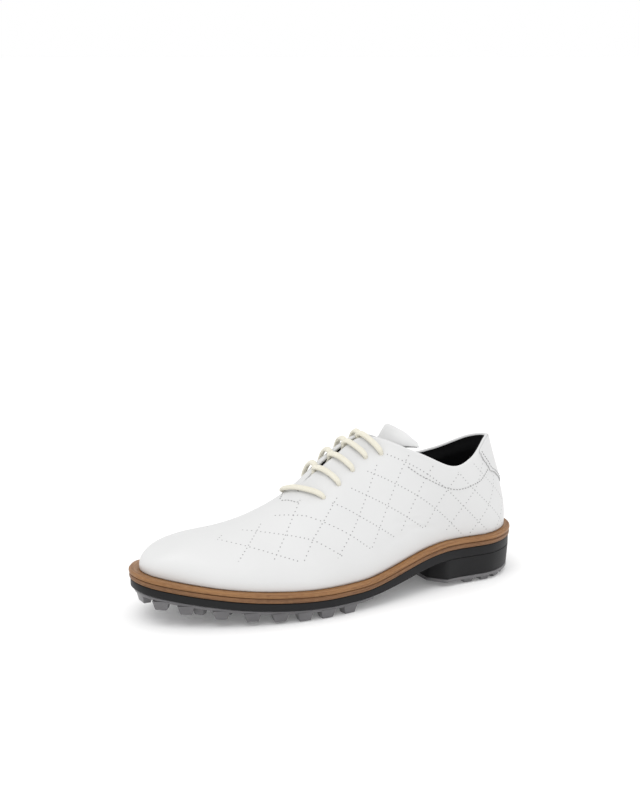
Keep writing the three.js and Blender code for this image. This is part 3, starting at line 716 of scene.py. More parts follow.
def rib(place, up):
    """The leather's outer surface: a place round the shoe, and a share from 0 at the welt to 1 at the top."""
    place, up = np.broadcast_arrays(np.asarray(place, float), np.asarray(up, float))
    out_x, out_y = outward(place)
    foot_x, foot_y = inset_edge(place, feather_inset(edge(place)[0]))
    x, y, z = (at_place(values, place) for values in (top_x, top_y, top_z))
    rise, bulge, reach, drop, slope = (at_place(values, place) for values in rib_shape)
    floor_z = welt_top(foot_x) + GAP
    corners = (
        (foot_x, foot_y, floor_z),
        (foot_x + out_x * bulge, foot_y + out_y * bulge, floor_z + rise),
        (x + out_x * reach, y + out_y * reach, z - drop + out_x * reach * slope),
        (x, y, z),
    )
    shares = ((1 - up) ** 3, 3 * up * (1 - up) ** 2, 3 * up * up * (1 - up), up ** 3)
    return np.stack([sum(w * corner[k] for w, corner in zip(shares, corners)) for k in range(3)], -1)


def side_row(place):
    """The table row at a place, whichever side it is on."""
    place = np.asarray(place, float) % ROUND
    return np.minimum(place, ROUND - place)


# The surface is a grid of columns round the shoe and rows up each rib. Up to the throat both sides
# share the points of the ridge.
COLUMNS = 20 * ROUND
HEIGHTS = 60
grid_place = np.repeat(np.arange(COLUMNS) * ROUND / COLUMNS, HEIGHTS + 1)
grid_up = np.tile(np.linspace(0, 1, HEIGHTS + 1), COLUMNS)
grid_points = rib(grid_place, grid_up)


def grid_number(column, row):
    column = column % COLUMNS
    place = column * ROUND / COLUMNS
    if row == HEIGHTS and place >= ROUND - THROAT:
        column = (COLUMNS - column) % COLUMNS
    return column * (HEIGHTS + 1) + row


def grid_faces(columns, rows):
    return [
        (grid_number(c, r), grid_number(c + 1, r), grid_number(c + 1, r + 1), grid_number(c, r + 1))
        for c in range(*columns) for r in range(*rows)]


def face_normals(points, faces):
    corners = points[np.array(faces)]
    return np.cross(corners[:, 2] - corners[:, 0], corners[:, 3] - corners[:, 1])


def point_normals(points, faces):
    total = np.zeros_like(points)
    normals = face_normals(points, faces)
    for k in range(4):
        np.add.at(total, np.array(faces)[:, k], normals)
    length = np.linalg.norm(total, axis=1, keepdims=True)
    return total / np.where(length == 0, 1, length)


all_faces = grid_faces((0, COLUMNS), (0, HEIGHTS))
grid_normals = point_normals(grid_points, all_faces)

# Soft creases at the quarter where the foot bends, and the slight hollow of seams:
# from place, up to place, up, then depth and width in millimetres
CREASES = [
    (6.9, 0.27, 8.0, 0.245, 0.5, 1.6),
    (7.2, 0.215, 8.35, 0.16, 0.55, 1.7),
    (6.6, 0.17, 7.6, 0.17, 0.3, 2.2),
    (5.02, 0.93, 5.1, 0.6, 0.55, 1.3),
]


def crease_depth(places, ups, points):
    depth = np.zeros(len(places))
    rows = side_row(places)
    for place0, up0, place1, up1, deep, width in CREASES:
        along = np.clip((rows - place0) / (place1 - place0), 0, 1)
        middle = up0 + (up1 - up0) * along
        foot = rib(np.where(np.asarray(places) > HEEL, ROUND - rows, rows), middle)
        away = np.linalg.norm(points - foot, axis=1)
        fade = np.where(
            (rows > place0) & (rows < place1), np.sin(np.pi * along) ** 0.7, 0)
        depth += deep * fade * np.exp(-((away / width) ** 2))
    return depth


def boundary_edges(faces):
    edges = {}
    for face in faces:
        for p, q in zip(face, face[1:] + face[:1]):
            edges[(p, q)] = True
    return [(p, q) for p, q in edges if (q, p) not in edges]


def shell(outer, inner, normals, faces, rounded=lambda number: True):
    """A closed sheet between two skins, its edges rounded where rounded() says so."""
    n = len(outer)
    points = [*outer, *inner]
    solid = [tuple(f) for f in faces] + [tuple(n + i for i in reversed(f)) for f in faces]
    edges = boundary_edges(faces)
    push = {}
    for p, q in edges:
        away = np.cross(outer[q] - outer[p], normals[p] + normals[q])
        for i in (p, q):
            push[i] = push.get(i, 0) + away / (np.linalg.norm(away) + 1e-9)
    strips = {}
    for i, away in push.items():
        middle, half = (outer[i] + inner[i]) / 2, (outer[i] - inner[i]) / 2
        away = away / (np.linalg.norm(away) + 1e-9) * np.linalg.norm(half)
        strip = [i]
        if rounded(i):
            for angle in np.radians((36, 72, 108, 144)):
                strip.append(len(points))
                points.append(middle + half * math.cos(angle) + away * math.sin(angle))
        strips[i] = strip + [n + i]
    for p, q in edges:
        a, b = strips[q], strips[p]
        if len(a) == len(b):
            solid += [(a[k], b[k], b[k + 1], a[k + 1]) for k in range(len(a) - 1)]
        else:
            solid.append(tuple(a + list(reversed(b))))
    return np.array(points), solid


def layer(patches, depths, skip=None, shape=None, rounded_from=0.3):
    """A layer of the upper over grid patches, between two depths under the outer surface."""
    faces = [face for columns, rows in patches for face in grid_faces(columns, rows)]
    if skip is not None:
        faces = [face for face in faces if not skip(face)]
    used = sorted({i for face in faces for i in face})
    number = {old: i for i, old in enumerate(used)}
    place, up, points, normals = (
        values[used] for values in (grid_place, grid_up, grid_points, grid_normals))
    outer_depth, inner_depth = depths(side_row(place), up)
    sunk = crease_depth(place, up, points)
    skins = []
    for depth in (outer_depth, inner_depth):
        skin = points - normals * (depth + sunk)[:, None]
        skin[:, 2] = np.maximum(skin[:, 2], welt_top(skin[:, 0]) + GAP)
        skins.append(skin)
    faces = [tuple(number[i] for i in face) for face in faces]
    if shape is not None:
        shape(skins, place, up, faces)
    return (*shell(*skins, normals, faces, lambda i: up[i] > rounded_from), place, up)


def column_at(place):
    return int(round(place * COLUMNS / ROUND))


def row_at(up):
    return int(round(up * HEIGHTS))


def both_sides(start, end, low, high):
    rows = (row_at(low), row_at(high))
    return [
        ((column_at(start), column_at(end)), rows),
        ((column_at(ROUND - end), column_at(ROUND - start)), rows),
    ]


# Lace holes: punched in pairs, set back from the facings' edges
EYELETS, EYELET_RADIUS = 5, 2.1
FIRST_EYELET, EYELET_PITCH = 5.5, 0.42
SETBACK_FIRST, SETBACK_LAST = 22, 13
MEDIAL_AHEAD = 0.27  # how many rows the medial holes lie ahead of the lateral ones
THROAT_HALF_GAP = 4


def on_facing(medial, row, setback, height=0):
    """A point so far down from the facing's edge, at a height over the leather, and its normal."""
    place = ROUND - row if medial else row
    ups = np.linspace(1, 0, 1001)
    line = rib(np.full(1001, place), ups)
    k = int(np.argmax(np.linalg.norm(line - line[0], axis=1) >= setback))
    step = 0.01
    along = rib(place + step, ups[k]) - rib(place - step, ups[k])
    rise = rib(place, ups[k]) - rib(place, ups[k] - step)
    normal = np.cross(along, rise)
    normal /= np.linalg.norm(normal)
    return line[k] + normal * height, normal


def eyelet_row(k):
    return FIRST_EYELET + k * EYELET_PITCH


def across_throat(row, across, height):
    """A point over the lacing, across from -1 at the lateral holes to 1 at the medial, and its normal."""
    share = (row - FIRST_EYELET) / (eyelet_row(EYELETS - 1) - FIRST_EYELET)
    edge_to_hole = SETBACK_FIRST + (SETBACK_LAST - SETBACK_FIRST) * share + THROAT_HALF_GAP
    from_middle = abs(across) * edge_to_hole
    row = row - MEDIAL_AHEAD * (1 + across) / 2
    if from_middle > THROAT_HALF_GAP:
        return on_facing(across > 0, row, from_middle - THROAT_HALF_GAP, height)
    lateral, medial = rib(row, 1.0), rib(ROUND - row, 1.0)
    share = 0.5 + 0.5 * across * edge_to_hole / THROAT_HALF_GAP
    up = np.array((-0.5, 0, 0.86))
    return lateral * (1 - share) + medial * share + up * height, up


eyelet_centres = [across_throat(eyelet_row(k), side, 0) for side in (-1, 1) for k in range(EYELETS)]


def in_eyelet(face):
    middle = sum(grid_points[i] for i in face) / 4
    return any(np.linalg.norm(middle - centre) < EYELET_RADIUS * 0.95 for centre, _ in eyelet_centres)


def round_eyelets(skins, place, up, faces):
    """Moves the cut points round each lace hole onto its circle."""
    rim = {i for edge_ in boundary_edges(faces) for i in edge_}
    for i in rim:
        for centre, normal in eyelet_centres:
            away = skins[0][i] - centre
            away -= normal * (away @ normal)
            length = np.linalg.norm(away)
            if 0 < length < EYELET_RADIUS * 1.8:
                shift = away / length * (EYELET_RADIUS - length)
                skins[0][i] += shift
                skins[1][i] += shift


def leather_depths(row, up):
    thick = LEATHER + 0.9 * smooth(up, 0.94, 1) * smooth(row, THROAT, THROAT + 0.2)
    return np.zeros(len(up)), thick


lengths = np.linalg.norm(np.diff(grid_points.reshape(COLUMNS, HEIGHTS + 1, 3), axis=1), axis=2)
rib_length = np.concatenate([np.zeros((COLUMNS, 1)), np.cumsum(lengths, 1)], 1)  # from the welt up
foot_along = edge_lengths(np.linspace(0, HEEL, 10 * COLUMNS))


def pattern_uv(place, up):
    """Where a point of the leather lay on the flat hide, in tenths of a metre, for the pierced pattern."""
    row = side_row(place)
    columns = (np.asarray(place) * COLUMNS / ROUND).round().astype(int) % COLUMNS
    rows = (np.asarray(up) * HEIGHTS).round().astype(int)
    own = rib_length[columns, rows]
    total = rib_length[columns, HEIGHTS]
    throat_total = np.where(
        np.asarray(place) > HEEL, rib_length[column_at(ROUND - THROAT), HEIGHTS],
        rib_length[column_at(THROAT), HEIGHTS])
    v = own - np.where(row < THROAT, total, throat_total)
    x = rib(place, up)[:, 0]
    round_heel = np.interp(row, np.linspace(0, HEEL, 10 * COLUMNS), foot_along)
    nine = np.interp(9, np.linspace(0, HEEL, 10 * COLUMNS), foot_along)
    u = x + np.maximum(0, round_heel - nine + 90 - edge(place)[0]) * (row > 9)
    u = np.where(u < 0, 0.85 * u, u)
    return np.stack([u, v], -1) / 100, own, total


def pierced_share(place, up):
    """1 where the leather is pierced, 0 on the toe, the ridge, the facings and above the welt."""
    _, own, total = pattern_uv(place, up)
    row, x = side_row(place), rib(place, up)[:, 0]
    low = np.interp(row, (0, 5, 6.5, 7.4, 8.3, 9, 12), (22, 21, 19, 21, 12, 2, 2))
    from_top = total - own
    top = np.interp(row, (0, 5, 5.4, 7.0, 7.5, 12), (13, 13, 30, 24, 4, 3))
    return (x > -93) * (own > low) * (from_top > top) * 1.0


def pierced_lines_group():
    """Rows of small punched holes crossing in diamonds; Mask is 1 in a hole."""
    group = bpy.data.node_groups.new("pierced_diamonds", "ShaderNodeTree")
    for name, value in (("Hole Radius", 0.0042), ("Hole Pitch", 0.031)):
        group.interface.new_socket(name, in_out="INPUT", socket_type="NodeSocketFloat").default_value = value
    group.interface.new_socket("Mask", in_out="OUTPUT", socket_type="NodeSocketFloat")
    given = node(group, "NodeGroupInput")
    uv = node(group, "ShaderNodeUVMap", uv_map="surface")
    # direction of a row of holes, spacing between its rows and where the first one lies
    families = (((0.707, -0.707), 0.1556, 0.092), ((0.643, 0.766), 0.2, -0.51))
    distances = []
    for (along_u, along_v), spacing, first in families:
        along = node(group, "ShaderNodeVectorMath", {
            0: uv.outputs["UV"], 1: (along_u, along_v, 0)}, operation="DOT_PRODUCT")
        across = node(group, "ShaderNodeVectorMath", {
            0: uv.outputs["UV"], 1: (-along_v, along_u, 0)}, operation="DOT_PRODUCT")
        moved = node(group, "ShaderNodeMath", {0: across.outputs["Value"], 1: first}, operation="SUBTRACT")
        to_row = node(group, "ShaderNodeMath", {
            0: moved.outputs["Value"], 1: spacing / 2}, operation="PINGPONG")
        half = node(group, "ShaderNodeMath", {0: given.outputs["Hole Pitch"], 1: 0.5}, operation="MULTIPLY")
        to_hole = node(group, "ShaderNodeMath", {
            0: along.outputs["Value"], 1: half.outputs["Value"]}, operation="PINGPONG")
        both = node(group, "ShaderNodeCombineXYZ", {
            "X": to_row.outputs["Value"], "Y": to_hole.outputs["Value"]})
        distances.append(node(group, "ShaderNodeVectorMath", {0: both.outputs["Vector"]}, operation="LENGTH"))
    nearest = node(group, "ShaderNodeMath", {
        0: distances[0].outputs["Value"], 1: distances[1].outputs["Value"]}, operation="MINIMUM")
    ratio = node(group, "ShaderNodeMath", {
        0: nearest.outputs["Value"], 1: given.outputs["Hole Radius"]}, operation="DIVIDE")
    hole = node(group, "ShaderNodeMapRange", {
        "Value": ratio.outputs["Value"], "From Min": 0.75, "From Max": 1.15, "To Min": 1, "To Max": 0})
    where = node(group, "ShaderNodeAttribute", attribute_name="pierced")
    inside = node(group, "ShaderNodeMath", {0: where.outputs["Fac"], 1: 0.5}, operation="GREATER_THAN")
    mask = node(group, "ShaderNodeMath", {
        0: hole.outputs["Result"], 1: inside.outputs["Value"]}, operation="MULTIPLY")
    node(group, "NodeGroupOutput", {"Mask": mask.outputs["Value"]})
    return group


def white_leather_material(name, pierced):
    """White full-grain leather: a faint cloud of tone, fine grain, and holes painted dark grey where it is
    pierced, as painted shade in the holes over the dark lining.
    """
    material, tree, shader = finish_material(name, (0.63, 0.63, 0.63), 0.4, Specular_IOR_Level=0.45)
    grain = node(tree, "ShaderNodeGroup", node_tree=fine_grain)
    grain.inputs["Grain Scale"].default_value = 1100.0
    grain.inputs["Cloud Scale"].default_value = 18.0
    tone = mix_colours(tree, grain.outputs["Cloud"], (0.6, 0.602, 0.602), (0.66, 0.66, 0.658))
    rough = node(tree, "ShaderNodeMapRange", {
        "Value": grain.outputs["Cloud"], "To Min": 0.36, "To Max": 0.5})
    tree.links.new(rough.outputs["Result"], shader.inputs["Roughness"])
    skin = node(tree, "ShaderNodeBump", {
        "Height": grain.outputs["Height"], "Strength": 0.1, "Distance": 0.00015})
    if pierced:
        holes = node(tree, "ShaderNodeGroup", node_tree=pierced_lines_group())
        # Painted shade: the holes are not cut, so their mask paints them dark grey, the shade inside each
        # hole with the black lining behind.
        colour = mix_colours(tree, holes.outputs["Mask"], tone, (0.26, 0.26, 0.26))
        tree.links.new(colour, shader.inputs["Base Color"])
        deep = node(tree, "ShaderNodeBump", {
            "Height": holes.outputs["Mask"], "Strength": 0.6, "Distance": 0.0004,
            "Normal": skin.outputs["Normal"]}, invert=True)
        tree.links.new(deep.outputs["Normal"], shader.inputs["Normal"])
    else:
        tree.links.new(tone, shader.inputs["Base Color"])
        tree.links.new(skin.outputs["Normal"], shader.inputs["Normal"])
    return material


white_leather = white_leather_material("white_leather", pierced=False)
pierced_leather = white_leather_material("pierced_white_leather", pierced=True)


def add_layer(name, made, material, nodes, with_pattern=False):
    points, faces, place, up = made
    uv = np.zeros((len(points), 2))
    if with_pattern:
        uv[:len(place)] = pattern_uv(place, up)[0]
    piece = new_piece(name, points, faces, material, uv=uv)
    if with_pattern:
        share = np.zeros(len(points), np.float32)
        share[:len(place)] = pierced_share(place, up)
        attribute = piece.data.attributes.new("pierced", "FLOAT", "POINT")
        attribute.data.foreach_set("value", share)
    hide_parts(*nodes)
    return piece


add_layer(
    "leather_upper",
    layer([((0, COLUMNS), (0, HEIGHTS))], leather_depths, skip=in_eyelet, shape=round_eyelets),
    pierced_leather, ["upper"], with_pattern=True)

# ---------------------------------------------------------------- stiffeners and padding
# Hidden between the upper and its lining: leatherboard toe puff, heel counter and eyelet stays, and
# the foam that pads the collar and thins out to its edge.


def padding(row, up):
    return 3 * smooth(row, 7.4, 9) * smooth(up, 0.5, 0.75) * (1 - smooth(up, 0.88, 1))


def middle_depths(row, up):
    start = leather_depths(row, up)[1] + 0.1
    return start, start + REINFORCEMENT + padding(row, up)


def lining_depths(row, up):
    start = middle_depths(row, up)[1] + GAP - REINFORCEMENT * smooth(up, 0.93, 1) * smooth(row, 7.2, 7.6)
    return start, start + LINING


add_layer(
    "toe_stiffener", layer([((-column_at(2.65), column_at(2.65)), (0, HEIGHTS))], middle_depths),
    leatherboard, ["toe_puff"])
add_layer(
    "heel_stiffener", layer([((column_at(9.65), column_at(ROUND - 9.65)), (0, row_at(0.5)))], middle_depths),
    leatherboard, ["heel_counter"])
for name, node_name, medial in (
    ("lateral_stay", "eyelet_stay_lateral", False), ("medial_stay", "eyelet_stay_medial", True),
):
    patch = both_sides(5.35, 7.3, 0.5, 0.9)[int(medial)]
    add_layer(
        name, layer([patch], middle_depths, skip=in_eyelet, shape=round_eyelets),
        leatherboard, [node_name])
foam = add_layer(
    "collar_padding",
    layer([((column_at(8), column_at(ROUND - 8)), (row_at(0.62), row_at(0.95)))], middle_depths),
    foam_grey, ["collar_foam"])

# ---------------------------------------------------------------- linings
# Black fabric glued inside the leather: one piece in the vamp, one round the quarters and heel that
# comes up to the turned topline.
add_layer(
    "vamp_lining_cloth", layer([((-column_at(THROAT), column_at(THROAT)), (0, HEIGHTS))], lining_depths),
    black_fabric, ["vamp_lining"])
LINED_THROAT_END = 7.35
add_layer(
    "quarter_lining_cloth",
    layer([
        *both_sides(5.35, LINED_THROAT_END, 0, 0.9),
        ((column_at(LINED_THROAT_END), column_at(ROUND - LINED_THROAT_END)), (0, HEIGHTS)),
    ], lining_depths, skip=in_eyelet, shape=round_eyelets),
    black_fabric, ["quarter_lining"])

# ---------------------------------------------------------------- heel tab
# An extra strip of the white leather stitched over the back seam and the back of the topline.
TAB_START = 10.45


def tab_faces():
    """Grid faces of the tab: its lower edge falls from the topline towards the back."""
    faces = []
    for c in range(column_at(TAB_START), column_at(ROUND - TAB_START)):
        row = float(side_row((c + 0.5) * ROUND / COLUMNS))
        low = np.interp(row, (TAB_START, 10.66, 10.72, 11.5, 12), (0.98, 0.8, 0.72, 0.5, 0.44))
        faces += grid_faces((c, c + 1), (row_at(low), HEIGHTS))
    return faces


def tab_shell():
    faces = tab_faces()
    used = sorted({i for face in faces for i in face})
    number = {old: i for i, old in enumerate(used)}
    points, normals = grid_points[used], grid_normals[used]
    faces = [tuple(number[i] for i in face) for face in faces]
    made = shell(points + normals * 0.9, points + normals * 0.1, normals, faces)
    return (*made, grid_place[used], grid_up[used])


add_layer("heel_tab_leather", tab_shell(), white_leather, ["heel_tab"])

# ---------------------------------------------------------------- stitching
# Seams of fine grey thread: the collar's double edge, the heel tab, the half-moon and bar at the
# throat. Each stitch is a short rounded piece of thread lying in the leather; its dark grey is
# painted shade of the stitch holes over the thread's own lighter grey.
# Thread colour: a light grey thread painted dark grey as the shade in its stitch holes.
thread = grained("grey_thread_painted_shade", (0.2, 0.2, 0.2), (0.32, 0.32, 0.31), (0.6, 0.8), 2500.0, 60.0, 0.3)
STITCH, STITCH_GAP, THREAD = 1.7, 0.9, 0.32


def stitch_points(start, end, normal):
    """A six-sided lozenge of thread between two points; returns points and faces."""
    run = end - start
    length = np.linalg.norm(run)
    run = run / length
    side = np.cross(normal, run)
    points = [start]
    for share, thick in ((0.18, 0.85), (0.5, 1.0), (0.82, 0.85)):
        for k in range(6):
            angle = math.pi * k / 3
            points.append(
                start + run * length * share
                + (side * math.cos(angle) + normal * math.sin(angle)) * THREAD * thick)
    points.append(end)
    last = len(points) - 1
    faces = [(0, 1 + (k + 1) % 6, 1 + k) for k in range(6)]
    for ring_start in (1, 7):
        faces += [
            (ring_start + k, ring_start + (k + 1) % 6, ring_start + 6 + (k + 1) % 6, ring_start + 6 + k)
            for k in range(6)]
    faces += [(last, 13 + k, 13 + (k + 1) % 6) for k in range(6)]
    return points, faces


def surface_normal(place, up, step=0.01):
    up = min(max(up, step), 1 - step)
    along = rib(place + step, up) - rib(place - step, up)
    rise = rib(place, up + step) - rib(place, up - step)
    normal = np.cross(along, rise)
    return normal / np.linalg.norm(normal)


def seam(stops, medial, lift):
    """Stitches along a line of (row, up) stops on the leather."""
    rows = np.linspace(0, len(stops) - 1, 200)
    curve = np.stack([np.interp(rows, range(len(stops)), [stop[k] for stop in stops]) for k in (0, 1)], 1)
    places = ROUND - curve[:, 0] if medial else curve[:, 0]
    line = rib(places, curve[:, 1])
    run = np.concatenate([[0], np.cumsum(np.linalg.norm(np.diff(line, axis=0), axis=1))])
    points, faces = [], []
    for k in range(int(run[-1] / (STITCH + STITCH_GAP))):
        ends = []
        for distance in (k * (STITCH + STITCH_GAP), k * (STITCH + STITCH_GAP) + STITCH):
            place, up = np.interp(distance, run, places), np.interp(distance, run, curve[:, 1])
            normal = surface_normal(place, up)
            ends.append(rib(place, up) + normal * lift)
        more, sides = stitch_points(ends[0], ends[1], normal)
        faces += [tuple(len(points) + i for i in side) for side in sides]
        points += more
    return points, faces


COLLAR_SEAM = [
    (7.73, 0.775), (8.04, 0.73), (8.56, 0.705), (8.99, 0.705), (9.49, 0.71), (10.11, 0.715), (10.65, 0.755)]
HALF_MOON = [(4.66, 0.97), (4.79, 0.9), (4.91, 0.815), (5.04, 0.77)]
THROAT_BAR = [(5.1, 0.985), (5.1, 0.9)]
TAB_SEAM = [(10.52, 0.975), (10.72, 0.82), (10.79, 0.73), (11.5, 0.52), (12, 0.47)]
for name, stops, lift in (
    ("collar_seam", COLLAR_SEAM, 0.1),
    ("half_moon_seam", HALF_MOON, 0.1),
    ("throat_bar", THROAT_BAR, 0.15),
    ("tab_seam", TAB_SEAM, 1.0),
):
    for side, medial in (("lateral", False), ("medial", True)):
        stitches = new_piece(f"{name}_{side}", *seam(stops, medial, lift), thread)

# ---------------------------------------------------------------- tongue
# Sewn in under the throat and padded at its top: a black leather base that runs down under the
# laces, a white leather cap over the padding, foam inside and black fabric against the foot.
TONGUE_Y = 8
TONGUE_LINE = [(-38, 58), (-12, 73.2), (14, 88.2), (31, 98), (45, 107.5), (54, 119)]
TONGUE_WIDTHS = [
    (0, 12, 6), (0.3, 15, 7.5), (0.55, 14, 7), (0.68, 9.8, 6.2), (0.78, 10.4, 6.6), (0.85, 16, 8.5),
    (0.93, 25, 10), (0.97, 23, 9.5), (1, 15, 7)]


def through(stops, share):
    """A smooth open curve through the stops."""
    stops = np.asarray(stops, float)
    padded = np.concatenate([[2 * stops[0] - stops[1]], stops, [2 * stops[-1] - stops[-2]]])
    position = np.clip(share, 0, 1) * (len(stops) - 1)
    i = np.minimum(position.astype(int), len(stops) - 2)
    t = (position - i)[:, None]
    a, b, c, d = (padded[i + k] for k in range(4))
    return b + 0.5 * t * (c - a + t * (2 * a - 5 * b + 4 * c - d + t * (3 * (b - c) + d - a)))


def tongue_width(along):
    stops = np.array(TONGUE_WIDTHS)
    return (np.interp(along, stops[:, 0], stops[:, k]) for k in (1, 2))


def tongue_points(along, across, depth):
    """Points on the tongue: along 0 to 1, across in millimetres, and depth under its outer face."""
    line = through(TONGUE_LINE, along)
    ahead, behind = through(TONGUE_LINE, along + 0.01), through(TONGUE_LINE, along - 0.01)
    run = ahead - behind
    run /= np.linalg.norm(run, axis=1, keepdims=True)
    top = smooth(along, 0.5, 0.8)
    low_radius = np.where(across < 0, 20, 10)
    radius = low_radius + (20 - low_radius) * top
    drop = across ** 2 / (2 * radius) + depth
    return np.stack([line[:, 0] + run[:, 1] * drop, TONGUE_Y + across, line[:, 1] - run[:, 0] * drop], 1)


def tongue_layer(start, end, outer, inner, puff=0.0, narrow=0.0):
    """A closed rounded slab over part of the tongue, swelling by puff in the middle."""
    lengthwise, widthwise = 48, 24
    points = []
    for k in range(lengthwise + 1):
        share = k / lengthwise
        along = start + (end - start) * share
        lateral, medial = (float(width[0]) - narrow for width in tongue_width(np.array([along])))
        round_end = min(1, (min(share, 1 - share) * 12)) ** 0.5
        for k2 in range(2 * widthwise):
            angle = math.pi * k2 / widthwise
            side = math.cos(angle)
            face = math.copysign(abs(math.sin(angle)) ** 0.35, math.sin(angle))
            width = medial if side > 0 else lateral
            swell = puff * (1 - side * side) * smooth(share, 0, 0.35) * smooth(1 - share, 0, 0.25)
            middle, half = (outer + inner) / 2, (inner - outer) / 2 * max(round_end, 0.15)
            depth = middle - face * half - max(face, 0) * swell
            points.append(tongue_points(
                np.array([along]), np.array([side * width]), np.array([depth]))[0])
    count = 2 * widthwise
    faces = [
        (k * count + i, (k + 1) * count + i, (k + 1) * count + (i + 1) % count, k * count + (i + 1) % count)
        for k in range(lengthwise) for i in range(count)]
    for first, flip in ((0, False), (lengthwise * count, True)):
        cap = [
            (first + i, first + i + 1, first + (count - i - 1) % count, first + (count - i) % count)
            for i in range(widthwise)]
        cap = [tuple(dict.fromkeys(face)) for face in cap]
        faces += [tuple(reversed(face)) if flip else face for face in cap if len(face) > 2]
    return points, faces


black_leather = grained(
    "black_leather", (0.012, 0.012, 0.013), (0.024, 0.024, 0.025), (0.42, 0.6), 1100.0, 40.0, 0.3)
for name, node_name, shape, material, slot in (
    ("tongue_base_leather", "tongue_base", (0, 0.62, 0, 1.1, 0, 0), black_leather, "black_lining"),
    ("tongue_cap_leather", "tongue_cap", (0.63, 1, -0.4, 1.6, 0.6, 0), white_leather, "white_leather"),
    ("tongue_padding", "tongue_foam", (0.04, 0.96, 1.6, 4, 0, 1.5), foam_grey, "foam"),
    ("tongue_lining_cloth", "tongue_lining", (0.0, 0.96, 4.3, 5, 0, 2), black_fabric, "black_lining"),
):
    start, end, outer, inner, puff, narrow = shape
    tongue_piece = new_piece(
        name, *tongue_layer(start, end, outer, inner, puff, narrow), material, body="tongue")
    sharpen(tongue_piece, 60)
    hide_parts(node_name)

# ---------------------------------------------------------------- lace
# One flat woven cotton lace, laced straight through to the outside. Its ends, with their clear
# aglets, are tucked inside the shoe on the footbed.
LACE_WIDTH, LACE_THICK = 4.3, 2.7
STRAND_TO_LATERAL = [
    (0, 1, -5), (0.08, 0.86, -6.4), (0.22, 0.5, -6.4), (0.4, 0.22, -5.8), (0.47, 0.1, -3.9),
    (0.53, 0.01, -0.6),
    (0.6, -0.03, 2.5), (0.7, -0.2, 3.4), (0.85, -0.5, 2.8), (0.97, -0.86, 2.5), (1, -1, 0.6)]
STRAND_TO_MEDIAL = [
    (0, -1, -5), (0.08, -0.86, -6.4), (0.32, -0.52, -6.4), (0.56, -0.3, -6), (0.66, -0.14, -4.4),
    (0.72, -0.02, -1), (0.78, 0.04, 2.5), (0.85, 0.2, 3.5), (0.92, 0.5, 3.1), (0.98, 0.86, 2.5), (1, 1, 0.6)]
FIRST_BAR = [
    (0, -1, 0.6), (-0.12, -0.84, 2.4), (-0.45, -0.5, 2.7), (-0.75, -0.1, 2.8), (-0.85, 0.3, 2.8),
    (-0.7, 0.62, 2.6), (-0.3, 0.88, 2.4), (0, 1, 0.6)]
TAIL_DOWN = [
    (7.18, 14, -5), (7.2, 17.5, -6.3), (7.22, 26, -6.4), (7.22, 36, -6.4), (7.2, 46, -6.4), (7.14, 55, -6.6)]
TAIL_FORWARD = (22, 6, -12, -30)


def lace_half(starts_medial):
    points = []
    for k in range(EYELETS - 1):
        to_lateral = (k % 2 == 0) == starts_medial
        for share, across, height in STRAND_TO_LATERAL if to_lateral else STRAND_TO_MEDIAL:
            points.append(across_throat(eyelet_row(k) + share * EYELET_PITCH, across, height))
    for row, setback, height in TAIL_DOWN:
        ahead = MEDIAL_AHEAD if starts_medial else 0
        points.append(on_facing(starts_medial, row - ahead, setback, height))
    for x in TAIL_FORWARD:
        place = place_at_x(x)
        place = ROUND - place if starts_medial else place
        px, py = inset_edge(place, 18)
        z = footbed_top(float(px)) + 1.6 + 2 * GAP
        points.append((np.array((float(px), float(py), float(z))), np.array((0.0, 0, 1))))
    return points


def place_at_x(x):
    rows = np.linspace(0, HEEL, 1200)
    return float(np.interp(x, edge(rows)[0], rows))


def between(a, b, t, start, end):
    return (a * (end - t) + b * (t - start)) / (end - start)


def centripetal(stops, steps):
    """Points of a smooth curve through the stops, so many steps between each two."""
    stops = [2 * stops[0] - stops[1], *stops, 2 * stops[-1] - stops[-2]]
    line = []
    for k in range(1, len(stops) - 2):
        four = stops[k - 1:k + 3]
        knots = np.cumsum([0] + [np.linalg.norm(b - a) ** 0.5 for a, b in zip(four, four[1:])])
        for t in np.linspace(knots[1], knots[2], steps, endpoint=False):
            first = [between(four[i], four[i + 1], t, knots[i], knots[i + 1]) for i in range(3)]
            second = [between(first[i], first[i + 1], t, knots[i], knots[i + 2]) for i in range(2)]
            line.append(between(*second, t, knots[1], knots[2]))
    line.append(stops[-2])
    return np.array(line)


LACE_STEPS = 6
lateral_half, medial_half = lace_half(False), lace_half(True)
first_bar = [
    across_throat(eyelet_row(0) + row * EYELET_PITCH, across, height) for row, across, height in FIRST_BAR]
lace_stops = [*reversed(lateral_half), *first_bar, *medial_half]
lace_line = centripetal([np.asarray(point) for point, _ in lace_stops], LACE_STEPS)
lace_up = np.array([lace_stops[min(k // LACE_STEPS, len(lace_stops) - 1)][1] for k in range(len(lace_line))])


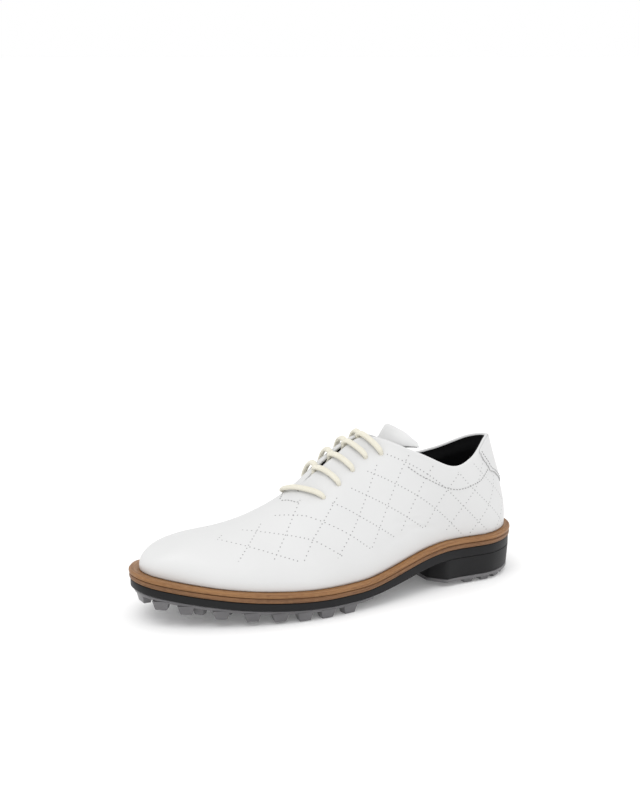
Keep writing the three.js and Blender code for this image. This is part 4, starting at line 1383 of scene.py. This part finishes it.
def lace_tube():
    """The lace's skin: a flat section that lies along the leather and narrows in the holes."""
    count, sides = len(lace_line), 16
    run = np.gradient(lace_line, axis=0)
    run /= np.linalg.norm(run, axis=1, keepdims=True)
    side = np.cross(run[0], lace_up[0])
    points, uv = [], []
    travelled = np.concatenate([[0], np.cumsum(np.linalg.norm(np.diff(lace_line, axis=0), axis=1))])
    for k in range(count):
        side = side - run[k] * (side @ run[k])
        side /= np.linalg.norm(side)
        flat = np.cross(run[k], lace_up[k])
        lying = np.linalg.norm(flat)
        if lying > 0.05:
            flat = flat / lying
            flat = flat if flat @ side > 0 else -flat
            side = side * (1 - 0.5 * lying) + flat * 0.5 * lying
            side /= np.linalg.norm(side)
        up = np.cross(side, run[k])
        near = min(np.linalg.norm(lace_line[k] - centre) for centre, _ in eyelet_centres)
        pinch = 1 - 0.26 * math.exp(-((near / 2.4) ** 2))
        for i in range(sides):
            angle = 2 * math.pi * i / sides
            c, s = math.cos(angle), math.sin(angle)
            across = math.copysign(abs(c) ** 0.8, c) * LACE_WIDTH / 2 * pinch
            rise = math.copysign(abs(s) ** 0.8, s) * LACE_THICK / 2
            points.append(lace_line[k] + side * across + up * rise)
            uv.append((travelled[k] / 10, 1 - abs(2 * i / sides - 1)))
    faces = [
        (k * sides + i, k * sides + (i + 1) % sides, (k + 1) * sides + (i + 1) % sides, (k + 1) * sides + i)
        for k in range(count - 1) for i in range(sides)]
    faces.append(tuple(reversed(range(sides))))
    faces.append(tuple((count - 1) * sides + i for i in range(sides)))
    return points, faces, uv


def braided_cotton():
    """Cream waxed cotton, braided flat: yarns cross it on both slants, with painted shade between them."""
    material, tree, shader = finish_material("cream_cotton", (0.76, 0.73, 0.62), 0.8, Sheen_Weight=0.2)
    uv = node(tree, "ShaderNodeUVMap", uv_map="surface")
    yarns = []
    for turn in (55, -55):
        slanted = node(tree, "ShaderNodeMapping", {
            "Vector": uv.outputs["UV"], "Scale": (4.5, 2.6, 1.0), "Rotation": (0, 0, math.radians(turn))})
        yarns.append(node(tree, "ShaderNodeTexWave", {
            "Vector": slanted.outputs["Vector"], "Scale": 1.0, "Distortion": 0.3}))
    weave = node(tree, "ShaderNodeMath", {
        0: yarns[0].outputs["Fac"], 1: yarns[1].outputs["Fac"]}, operation="MAXIMUM")
    fibres = node(tree, "ShaderNodeGroup", node_tree=fine_grain)
    fibres.inputs["Grain Scale"].default_value = 3000.0
    fibres.inputs["Cloud Scale"].default_value = 90.0
    deep = node(tree, "ShaderNodeMapRange", {
        "Value": weave.outputs["Value"], "From Min": 0.1, "From Max": 0.7})
    # Painted shade: the weave's low places, between the yarns, are painted the darker cream.
    tone = mix_colours(tree, deep.outputs["Result"], (0.52, 0.48, 0.37), (0.8, 0.77, 0.67))
    worn = mix_colours(tree, fibres.outputs["Cloud"], tone, (0.72, 0.69, 0.58))
    tree.links.new(worn, shader.inputs["Base Color"])
    bump = node(tree, "ShaderNodeBump", {
        "Height": weave.outputs["Value"], "Strength": 0.6, "Distance": 0.0003})
    fine = node(tree, "ShaderNodeBump", {
        "Height": fibres.outputs["Height"], "Strength": 0.3, "Distance": 0.0001,
        "Normal": bump.outputs["Normal"]})
    tree.links.new(fine.outputs["Normal"], shader.inputs["Normal"])
    return material


lace_points, lace_faces, lace_uv = lace_tube()
lace = new_piece("woven_lace", lace_points, lace_faces, braided_cotton(), uv=lace_uv)
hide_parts("lace")

clear_tip = grained("clear_tip", (0.62, 0.6, 0.55), (0.72, 0.7, 0.66), (0.18, 0.3), 900.0, 80.0, 0.1)
aglets = [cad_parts[name] for name in ("aglet_lateral", "aglet_medial")]
for aglet in aglets:
    aglet.data.materials.clear()
    aglet.data.materials.append(clear_tip)
